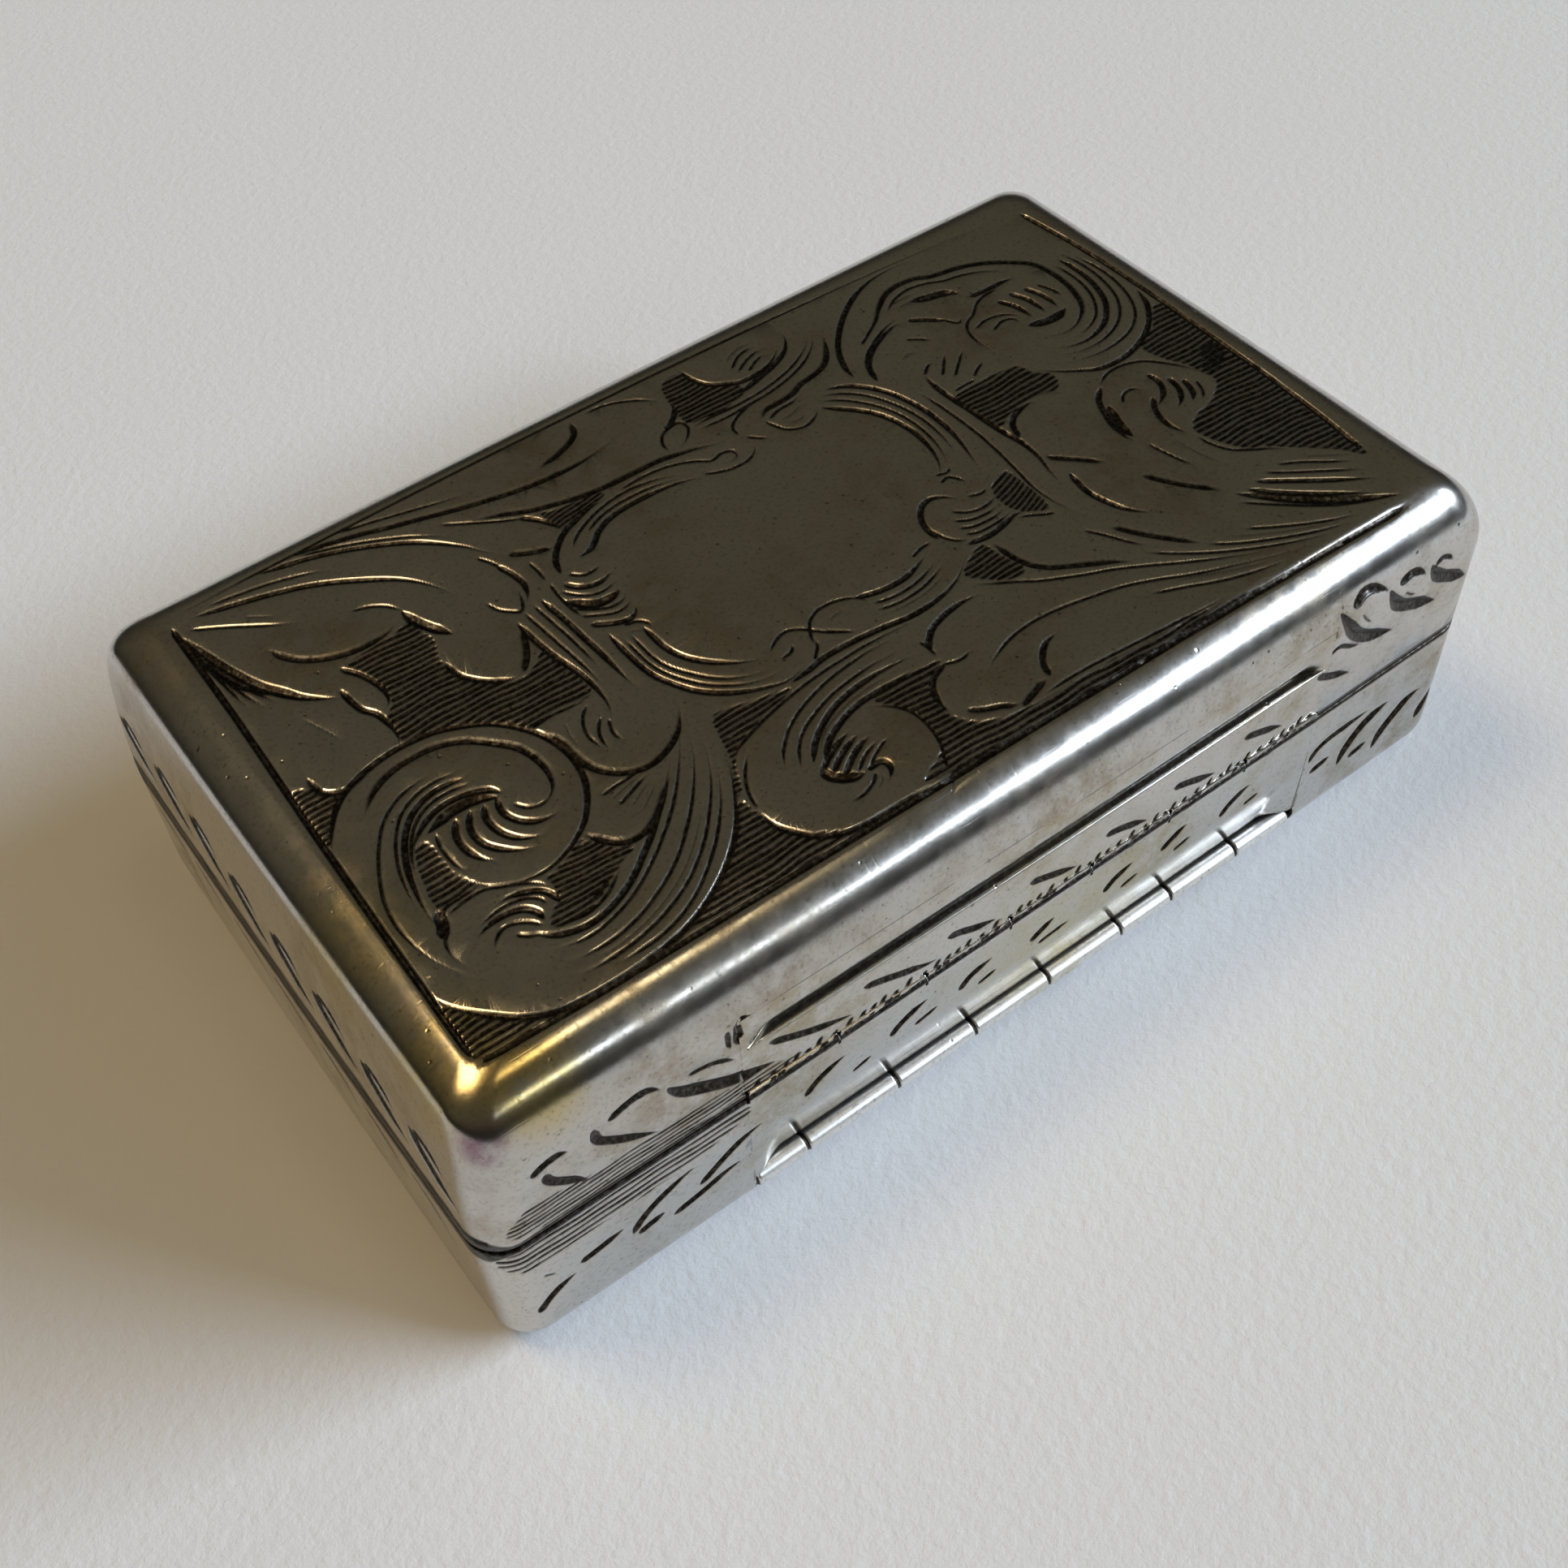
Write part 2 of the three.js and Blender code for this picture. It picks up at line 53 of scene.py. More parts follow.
ROD_NOTCHES = [-8.8, -5.25, -2.1, 1.0, 4.15, 6.4, 9.4]
# the lid's left end, which leans in towards a tighter rim: how far it is set in, and height
LEFT_RIM = [(2.0, 12.3), (1.6, 12.2), (1.2, 12.04), (0.95, 11.9), (0.8, 11.77), (0.7, 11.63), (0.63, 11.45), (0.55, 11.1),
            (0.42, 10.4), (0.28, 9.4), (0.14, 8.2), (0.04, 7.0), (0.0, 6.36)]
BEZEL_IN, BEZEL_T, BEZEL_LOW_Z, BEZEL_TOP_Z = 0.72, 0.36, 4.95, 7.45
SHIFT_Y = -0.4
PANEL_TURN = math.radians(1.2)      # the engraved panel sits a little askew on the lid
PANEL_X, PANEL_Y = -0.1, -0.4       # and a little off its middle

# ------------------------------------------------------------------ engraved fields


class Field:
    """A map of cut depth, in mm, over a flat area."""

    def __init__(self, x0, x1, y0, y1, cell):
        self.x0, self.y0, self.cell = x0, y0, cell
        self.nx, self.ny = int(round((x1 - x0) / cell)) + 1, int(round((y1 - y0) / cell)) + 1
        self.depth = np.zeros((self.ny, self.nx), np.float32)
        self.ground = np.zeros((self.ny, self.nx), np.float32)
        self.xs = x0 + np.arange(self.nx) * cell
        self.ys = y0 + np.arange(self.ny) * cell

    def cut(self, pts, w, d, taper=(0.12, 0.45), asym=0.5, floor=0.0):
        """A V-shaped cut along a smooth line, thinning towards its ends."""
        path = smooth(pts, 0.06)
        seg = np.hypot(*np.diff(path, axis=0).T)
        s = np.concatenate([[0], np.cumsum(seg)])
        s /= max(s[-1], 1e-9)
        k = np.ones_like(s)
        if taper[0] > 0:
            k = np.minimum(k, floor + (1 - floor) * np.sqrt(np.clip(s / taper[0], 0, 1)))
        if taper[1] > 0:
            k = np.minimum(k, floor + (1 - floor) * np.clip((1 - s) / taper[1], 0, 1) ** 0.8)
        wl, wr = w * asym, w * (1 - asym)
        reach = max(wl, wr) + 2 * self.cell
        for i in range(len(path) - 1):
            (px, py), (qx, qy) = path[i], path[i + 1]
            i0 = max(0, int((min(px, qx) - reach - self.x0) / self.cell))
            i1 = min(self.nx, int((max(px, qx) + reach - self.x0) / self.cell) + 2)
            j0 = max(0, int((min(py, qy) - reach - self.y0) / self.cell))
            j1 = min(self.ny, int((max(py, qy) + reach - self.y0) / self.cell) + 2)
            if i0 >= i1 or j0 >= j1:
                continue
            X, Y = self.xs[i0:i1][None, :], self.ys[j0:j1][:, None]
            dx, dy = qx - px, qy - py
            l2 = dx * dx + dy * dy + 1e-12
            t = np.clip(((X - px) * dx + (Y - py) * dy) / l2, 0, 1)
            ex, ey = X - (px + t * dx), Y - (py + t * dy)
            kk = k[i] + (k[i + 1] - k[i]) * t
            side = dx * ey - dy * ex
            half = np.where(side > 0, wl, wr) * kk + 1e-6
            v = d * kk * (1 - np.hypot(ex, ey) / half)
            block = self.depth[j0:j1, i0:i1]
            np.maximum(block, v, out=block)

    def inside(self, poly):
        p = np.asarray(poly, float)
        m = np.zeros((self.ny, self.nx), bool)
        X, Y = self.xs[None, :], self.ys[:, None]
        for (ax, ay), (bx, by) in zip(p, np.roll(p, -1, 0)):
            if ay == by:
                continue
            cross = ((ay > Y) != (by > Y)) & (X < (bx - ax) * (Y - ay) / (by - ay) + ax)
            m ^= cross
        return m

    def hatch(self, poly, pitch=0.25, angle=0.0, d=0.05, sink=0.02, wob=0.05, smoothed=True):
        """Lowered ground filled with parallel cuts."""
        m = self.inside(smooth(poly + poly[:1], 0.15) if smoothed else poly).astype(np.float32)
        for _ in range(2):
            m = (m + np.roll(m, 1, 0) + np.roll(m, -1, 0) + np.roll(m, 1, 1) + np.roll(m, -1, 1)) / 5
        c, s = math.cos(math.radians(angle)), math.sin(math.radians(angle))
        X, Y = self.xs[None, :], self.ys[:, None]
        v = -X * s + Y * c + wob * np.sin(X * 1.3 + Y * 0.7) + 0.5 * wob * np.sin(X * 3.1 - Y * 1.9 + 1.0)
        saw = np.abs(((v / pitch) % 1.0) * 2 - 1)
        u = X * c + Y * s
        vary = 0.75 + 0.25 * np.sin(u * 2.3 + np.floor(v / pitch) * 2.1)
        lines = np.clip((saw - 0.25) / 0.75, 0, 1) * d * vary
        self.depth = np.maximum(self.depth, m * (sink + lines)).astype(np.float32)
        self.ground = np.maximum(self.ground, m).astype(np.float32)

    def at(self, x, y, what="depth"):
        a = getattr(self, what)
        u = np.clip((x - self.x0) / self.cell, 0, self.nx - 1.001)
        v = np.clip((y - self.y0) / self.cell, 0, self.ny - 1.001)
        i, j = u.astype(int), v.astype(int)
        fu, fv = u - i, v - j
        return (a[j, i] * (1 - fu) * (1 - fv) + a[j, i + 1] * fu * (1 - fv)
                + a[j + 1, i] * (1 - fu) * fv + a[j + 1, i + 1] * fu * fv)


def smooth(pts, step):
    """A Catmull-Rom line through pts, in steps of about `step`."""
    p = np.asarray(pts, float)
    if len(p) == 2:
        n = max(2, int(np.hypot(*(p[1] - p[0])) / step))
        t = np.linspace(0, 1, n + 1)[:, None]
        return p[0] + (p[1] - p[0]) * t
    closed = np.allclose(p[0], p[-1])
    if closed:
        q = np.vstack([p[-2], p, p[1]])
    else:
        q = np.vstack([2 * p[0] - p[1], p, 2 * p[-1] - p[-2]])
    out = []
    for i in range(1, len(q) - 2):
        a, b, c, d = q[i - 1:i + 3]
        n = max(1, int(np.ceil(np.hypot(*(c - b)) / step)))
        t = (np.arange(n) / n)[:, None]
        out.append(0.5 * (2 * b + (c - a) * t + (2 * a - 5 * b + 4 * c - d) * t ** 2
                          + (3 * b - a - 3 * c + d) * t ** 3))
    out.append(p[-1][None, :])
    return np.vstack(out)


# line weights: width and depth of the cut, in mm
WEIGHT = {
    "f": dict(w=0.13, d=0.034, taper=(0.15, 0.35)),
    "m": dict(w=0.20, d=0.056, taper=(0.10, 0.35)),
    "h": dict(w=0.30, d=0.085, taper=(0.10, 0.40)),
    "g": dict(w=0.46, d=0.120, taper=(0.25, 0.30)),
    "l": dict(w=0.34, d=0.066, taper=(0.12, 0.25), asym=0.78),
    "r": dict(w=0.34, d=0.066, taper=(0.12, 0.25), asym=0.22),
    "b": dict(w=0.28, d=0.100, taper=(0.02, 0.02)),
    "k": dict(w=0.50, d=0.105, taper=(0.15, 0.40)),
}

# the walls are cut more boldly
WALL_WEIGHT = {k: dict(v, w=1.3 * v["w"], d=1.5 * v["d"]) for k, v in WEIGHT.items()}

# the lid's panel: border
PANEL = [
    ("b", [(-17.05, -9.6), (-17.05, -5), (-17.0, 0), (-16.92, 5), (-16.95, 9.5)]),
    ("b", [(-17.05, -9.83), (-12, -9.86), (-5, -9.8), (0, -9.75), (8, -9.68), (16.6, -9.7)]),
    ("b", [(16.95, 9.7), (17.1, 8.5), (17.28, 7), (17.42, 4.5), (17.45, 1), (17.42, -2.5), (17.32, -5.2), (17.15, -7.0)]),
    ("m", [(-16.9, 9.85), (-12, 10.08), (-5, 10.3), (2, 10.38), (9, 10.3), (14, 10.1), (16.9, 9.75)]),
]
# large volute, front left
PANEL += [
    ("h", [(-16.95, -1.5), (-16.6, -0.8), (-16.1, -0.1), (-15.5, 0.35), (-14.7, 0.65), (-13.7, 0.8), (-12.6, 0.72),
           (-11.7, 0.38), (-11.0, -0.05), (-10.4, -0.75), (-9.98, -1.6), (-9.82, -2.6), (-10.0, -3.6), (-10.55, -4.55),
           (-11.2, -5.12), (-12.0, -5.5), (-12.7, -5.6), (-13.5, -5.4), (-14.15, -4.95), (-14.45, -4.3), (-14.5, -3.5), (-14.4, -2.6)]),
    ("l", [(-15.6, -0.85), (-15.0, -0.3), (-14.3, 0.05), (-13.5, 0.17), (-12.7, 0.1), (-12.0, -0.22), (-11.4, -0.78),
           (-10.92, -1.4), (-10.7, -2.2), (-10.75, -2.9), (-11.0, -3.35), (-11.4, -3.46), (-11.8, -3.3), (-12.0, -3.02)]),
    ("m", [(-13.4, -0.6), (-14.4, -0.8), (-15.2, -1.3), (-15.8, -2.1), (-16.3, -3.1), (-16.6, -4.1), (-16.65, -5.1),
           (-16.45, -6.2), (-16.1, -7.0), (-15.6, -7.8)]),
    ("m", [(-12.7, -1.02), (-13.5, -0.95), (-14.3, -1.15), (-14.9, -1.6), (-15.4, -2.35), (-15.75, -3.3), (-15.92, -4.4), (-15.9, -5.6)]),
    ("h", [(-12.65, -1.36), (-13.4, -1.25), (-14.1, -1.4), (-14.7, -1.8), (-15.2, -2.5), (-15.55, -3.4), (-15.75, -4.4), (-15.8, -5.3), (-15.7, -5.8)]),
    ("m", [(-12.6, -1.62), (-13.3, -1.52), (-14.0, -1.62), (-14.6, -2.0), (-15.1, -2.7), (-15.4, -3.5), (-15.55, -4.4)]),
    ("h", [(-12.05, -2.5), (-12.35, -2.15), (-12.9, -1.92), (-13.5, -1.85), (-14.1, -1.98), (-14.6, -2.28), (-14.95, -2.6), (-15.2, -3.2)]),
    ("g", [(-12.2, -2.55), (-12.8, -2.25), (-13.5, -2.2), (-14.1, -2.35), (-14.6, -2.55)]),
    ("m", [(-14.3, -2.6), (-14.42, -3.2), (-14.36, -4.0), (-14.15, -4.5)]),
    ("h", [(-13.6, -2.5), (-13.88, -3.05), (-13.9, -3.65), (-13.68, -4.2), (-13.3, -4.6)]),
    ("h", [(-13.1, -2.45), (-13.42, -3.0), (-13.45, -3.6), (-13.2, -4.1), (-12.7, -4.55), (-12.1, -4.82)]),
    ("h", [(-12.68, -2.5), (-12.9, -3.0), (-12.85, -3.6), (-12.58, -4.1), (-12.15, -4.4), (-11.7, -4.5)]),
    ("h", [(-12.3, -2.5), (-12.42, -3.1), (-12.22, -3.62), (-11.85, -3.95), (-11.4, -4.05), (-10.95, -3.95)]),
    ("m", [(-12.05, -3.0), (-11.75, -3.4), (-11.3, -3.52), (-10.9, -3.38)]),
    ("m", [(-14.15, -4.92), (-14.8, -4.97), (-15.3, -5.02), (-15.52, -5.25), (-15.6, -5.7), (-15.85, -6.0), (-15.92, -6.5), (-15.8, -7.0), (-15.6, -7.3)]),
    ("g", [(-15.55, -5.0), (-15.65, -5.5), (-15.9, -5.9)]),
    ("m", [(-15.4, -5.3), (-14.9, -5.15), (-14.2, -5.12), (-13.7, -5.35), (-13.2, -5.6), (-12.8, -5.95), (-12.66, -6.3), (-12.8, -6.65)]),
    ("h", [(-12.72, -6.75), (-12.75, -6.45), (-12.95, -6.1), (-13.4, -5.85), (-13.85, -5.75), (-14.3, -5.85)]),
    ("m", [(-13.02, -6.65), (-13.12, -6.3), (-13.45, -6.05), (-14.0, -5.95), (-14.6, -6.05), (-15.2, -6.3)]),
    ("h", [(-13.35, -7.0), (-13.4, -6.65), (-13.65, -6.35), (-14.1, -6.2), (-14.7, -6.25), (-15.3, -6.5)]),
    ("m", [(-13.45, -7.15), (-13.7, -6.85), (-14.1, -6.6), (-14.45, -6.58), (-14.8, -6.85), (-15.0, -7.3)]),
    ("m", [(-14.25, -6.95), (-13.95, -7.2), (-13.5, -7.38)]),
]
# sweeping leaf below it
PANEL += [
    ("h", [(-13.9, -7.2), (-13.3, -7.65), (-12.5, -7.85), (-11.7, -7.72), (-10.8, -7.3), (-10.0, -6.7), (-9.2, -6.05), (-8.5, -5.35), (-7.9, -4.7), (-7.3, -4.1)]),
    ("m", [(-13.0, -7.4), (-12.3, -7.5), (-11.6, -7.3), (-11.0, -6.9), (-10.5, -6.55)]),
    ("m", [(-12.6, -7.2), (-12.0, -7.2), (-11.4, -6.95), (-10.9, -6.6)]),
    ("m", [(-13.6, -8.0), (-12.8, -8.18), (-12.0, -8.08), (-11.0, -7.72), (-10.0, -7.1), (-9.0, -6.3), (-8.2, -5.5), (-7.4, -4.5), (-6.8, -3.6), (-6.2, -2.7)]),
    ("m", [(-13.5, -8.6), (-12.5, -8.66), (-11.5, -8.5), (-10.5, -8.1), (-9.5, -7.5), (-8.6, -6.7), (-7.8, -5.8), (-7.1, -4.8), (-6.6, -3.8), (-6.2, -3.0)]),
    ("f", [(-13.2, -8.85), (-12.3, -8.9), (-11.3, -8.72), (-10.3, -8.35), (-9.3, -7.75), (-8.4, -6.95), (-7.6, -6.0), (-6.95, -5.0)]),
    ("m", [(-13.6, -9.1), (-12.5, -9.12), (-11.5, -9.0), (-10.5, -8.7), (-9.5, -8.2), (-8.5, -7.4), (-7.7, -6.5), (-7.0, -5.5), (-6.5, -4.4), (-6.15, -3.4)]),
    ("m", [(-12.5, -9.4), (-11.2, -9.32), (-10.1, -8.98), (-9.1, -8.35), (-8.2, -7.55), (-7.4, -6.6), (-6.8, -5.6), (-6.35, -4.6)]),
    ("r", [(-16.98, -7.3), (-16.7, -7.9), (-16.3, -8.4), (-15.7, -9.0), (-15.2, -9.38), (-14.5, -9.66), (-13.5, -9.76), (-12.2, -9.74),
           (-11.0, -9.58), (-10.0, -9.28), (-9.0, -8.75), (-8.2, -8.15), (-7.6, -7.55), (-7.1, -6.85), (-6.6, -5.95), (-6.25, -5.1), (-6.0, -4.3)]),
    ("l", [(-11.05, -5.15), (-10.75, -5.7), (-10.35, -6.1), (-9.9, -6.22), (-9.4, -6.1), (-8.8, -5.7), (-8.2, -5.1), (-7.7, -4.6)]),
    ("m", [(-9.9, -4.3), (-9.2, -4.22), (-8.4, -4.2)]),
    ("f", [(-9.8, -4.6), (-9.1, -4.42), (-8.3, -4.25)]),
    ("m", [(-9.7, -4.9), (-9.0, -4.62), (-8.3, -4.35)]),
    ("f", [(-9.5, -5.2), (-8.9, -4.85), (-8.25, -4.5)]),
    ("f", [(-9.3, -5.5), (-8.7, -5.05), (-8.15, -4.62)]),
    ("l", [(-9.98, -1.2), (-9.82, -1.8), (-9.76, -2.6), (-9.62, -3.3), (-9.2, -3.85), (-8.7, -4.15), (-8.1, -4.24), (-7.4, -4.02), (-6.8, -3.6), (-6.3, -2.85), (-6.05, -2.4)]),
    ("m", [(-10.25, -0.95), (-9.9, -0.88), (-9.4, -0.84), (-8.9, -0.88), (-8.4, -0.95), (-8.12, -1.05)]),
    ("m", [(-8.4, -1.1), (-8.8, -1.5), (-9.02, -2.1), (-8.96, -2.7), (-8.8, -3.15)]),
    ("m", [(-8.35, -1.75), (-8.68, -2.2), (-8.8, -2.7), (-8.75, -3.1)]),
    ("m", [(-8.2, -1.95), (-8.38, -2.5), (-8.3, -3.05)]),
    ("f", [(-9.3, -1.3), (-9.45, -1.9), (-9.4, -2.5)]),
]
# leaf in the back left corner
PANEL += [
    ("g", [(-16.9, 9.0), (-16.7, 8.2), (-16.45, 7.2), (-16.15, 6.3), (-15.8, 5.5), (-15.4, 4.9), (-15.0, 4.35), (-14.5, 3.9), (-13.95, 3.5)]),
    ("g", [(-16.85, 8.4), (-16.62, 7.2), (-16.35, 6.3), (-16.0, 5.5), (-15.6, 4.85)]),
    ("m", [(-16.85, 7.8), (-16.68, 6.6), (-16.55, 5.6), (-16.42, 4.6)]),
    ("m", [(-16.7, 7.4), (-16.45, 6.0), (-16.2, 5.1), (-15.95, 4.4)]),
    ("m", [(-16.5, 7.0), (-16.2, 5.8), (-15.85, 5.0), (-15.5, 4.4)]),
    ("m", [(-16.6, 9.05), (-15.6, 8.45), (-14.8, 7.9), (-14.2, 7.5), (-13.5, 7.1)]),
    ("f", [(-15.0, 8.5), (-14.5, 8.15), (-14.0, 7.8)]),
    ("h", [(-16.2, 9.45), (-14.8, 9.12), (-13.8, 8.85), (-12.8, 8.5), (-12.0, 8.1), (-11.2, 7.6), (-10.5, 7.1), (-10.0, 6.6), (-9.6, 6.0), (-9.3, 5.3), (-9.15, 4.6)]),
    ("m", [(-15.6, 9.62), (-14.0, 9.4), (-13.0, 9.15), (-12.2, 8.85), (-11.5, 8.45)]),
    ("h", [(-13.8, 9.95), (-12.2, 9.6), (-11.2, 9.25), (-10.2, 8.78), (-9.3, 8.25), (-8.6, 7.65), (-8.0, 7.0), (-7.6, 6.4), (-7.2, 5.9), (-6.9, 5.6)]),
    ("m", [(-12.4, 9.9), (-11.2, 9.5), (-10.2, 9.05), (-9.2, 8.5), (-8.4, 7.9), (-7.8, 7.25)]),
    ("l", [(-13.0, 10.1), (-11.8, 9.85), (-10.5, 9.55), (-9.4, 9.2), (-8.5, 8.95), (-7.5, 8.65), (-6.5, 8.4), (-5.6, 8.2), (-4.6, 8.06), (-3.6, 8.02), (-2.6, 8.12), (-1.6, 8.36), (-0.9, 8.56)]),
    ("m", [(-11.0, 10.1), (-9.8, 9.85), (-8.6, 9.55), (-7.4, 9.25), (-6.4, 9.05)]),
    ("l", [(-14.98, 6.75), (-14.8, 6.2), (-14.4, 5.7), (-13.9, 5.35), (-13.3, 5.1), (-12.6, 4.98), (-11.9, 5.05), (-11.5, 5.22), (-11.25, 5.55)]),
    ("m", [(-12.2, 6.65), (-11.7, 6.5), (-11.25, 6.2), (-10.97, 5.8), (-10.85, 5.4)]),
    ("g", [(-10.95, 5.7), (-10.82, 5.1), (-10.6, 4.6), (-10.3, 4.1), (-10.08, 3.75)]),
    ("h", [(-13.6, 4.7), (-13.22, 4.15), (-13.0, 3.6), (-12.9, 3.1), (-13.0, 2.6), (-13.35, 2.25)]),
    ("h", [(-13.97, 3.95), (-13.9, 3.3), (-13.8, 2.8), (-13.55, 2.4), (-13.44, 2.0), (-13.4, 1.5), (-13.5, 1.0), (-13.8, 0.72)]),
    ("r", [(-16.28, 1.45), (-16.2, 1.0), (-16.1, 0.65), (-15.7, 0.4), (-15.2, 0.5), (-14.8, 0.68), (-14.4, 0.74), (-13.9, 0.9)]),
    ("f", [(-15.4, 3.6), (-15.0, 2.6), (-14.7, 1.7)]),
    ("r", [(-10.9, 3.0), (-10.8, 2.3), (-10.5, 1.8), (-10.1, 1.42), (-9.6, 1.14), (-9.3, 1.1)]),
    ("l", [(-9.2, 1.12), (-8.8, 1.6), (-8.5, 2.2), (-8.3, 2.9)]),
]
# stems beside the cartouche
PANEL += [
    ("h", [(-8.38, 3.1), (-8.3, 2.0), (-8.15, 1.0), (-7.96, 0.2), (-7.86, -0.6), (-7.9, -1.4), (-8.1, -2.0), (-8.25, -2.4)]),
    ("m", [(-8.0, 3.4), (-7.9, 2.5), (-7.8, 1.5), (-7.7, 0.5), (-7.65, -0.4), (-7.7, -1.2)]),
    ("m", [(-7.6, 3.5), (-7.5, 2.5), (-7.4, 1.5), (-7.35, 0.4), (-7.35, -0.6)]),
    ("h", [(-7.3, 3.5), (-7.15, 2.4), (-7.08, 1.4), (-7.0, 0.4), (-6.95, -0.8), (-6.85, -1.8)]),
    ("m", [(-8.72, 4.4), (-8.55, 3.9), (-8.3, 3.6), (-8.0, 3.4), (-7.78, 3.7), (-7.62, 4.2), (-7.45, 4.6)]),
    ("h", [(-7.62, 5.6), (-7.42, 5.0), (-7.34, 4.4), (-7.48, 3.9), (-7.75, 3.55)]),
    ("m", [(-7.95, 6.3), (-7.65, 5.75), (-7.5, 5.2)]),
    ("l", [(-7.1, 5.75), (-6.6, 5.45), (-6.1, 5.25), (-5.7, 5.2)]),
    ("m", [(-6.75, 5.1), (-6.7, 4.5), (-6.75, 3.9)]),
]
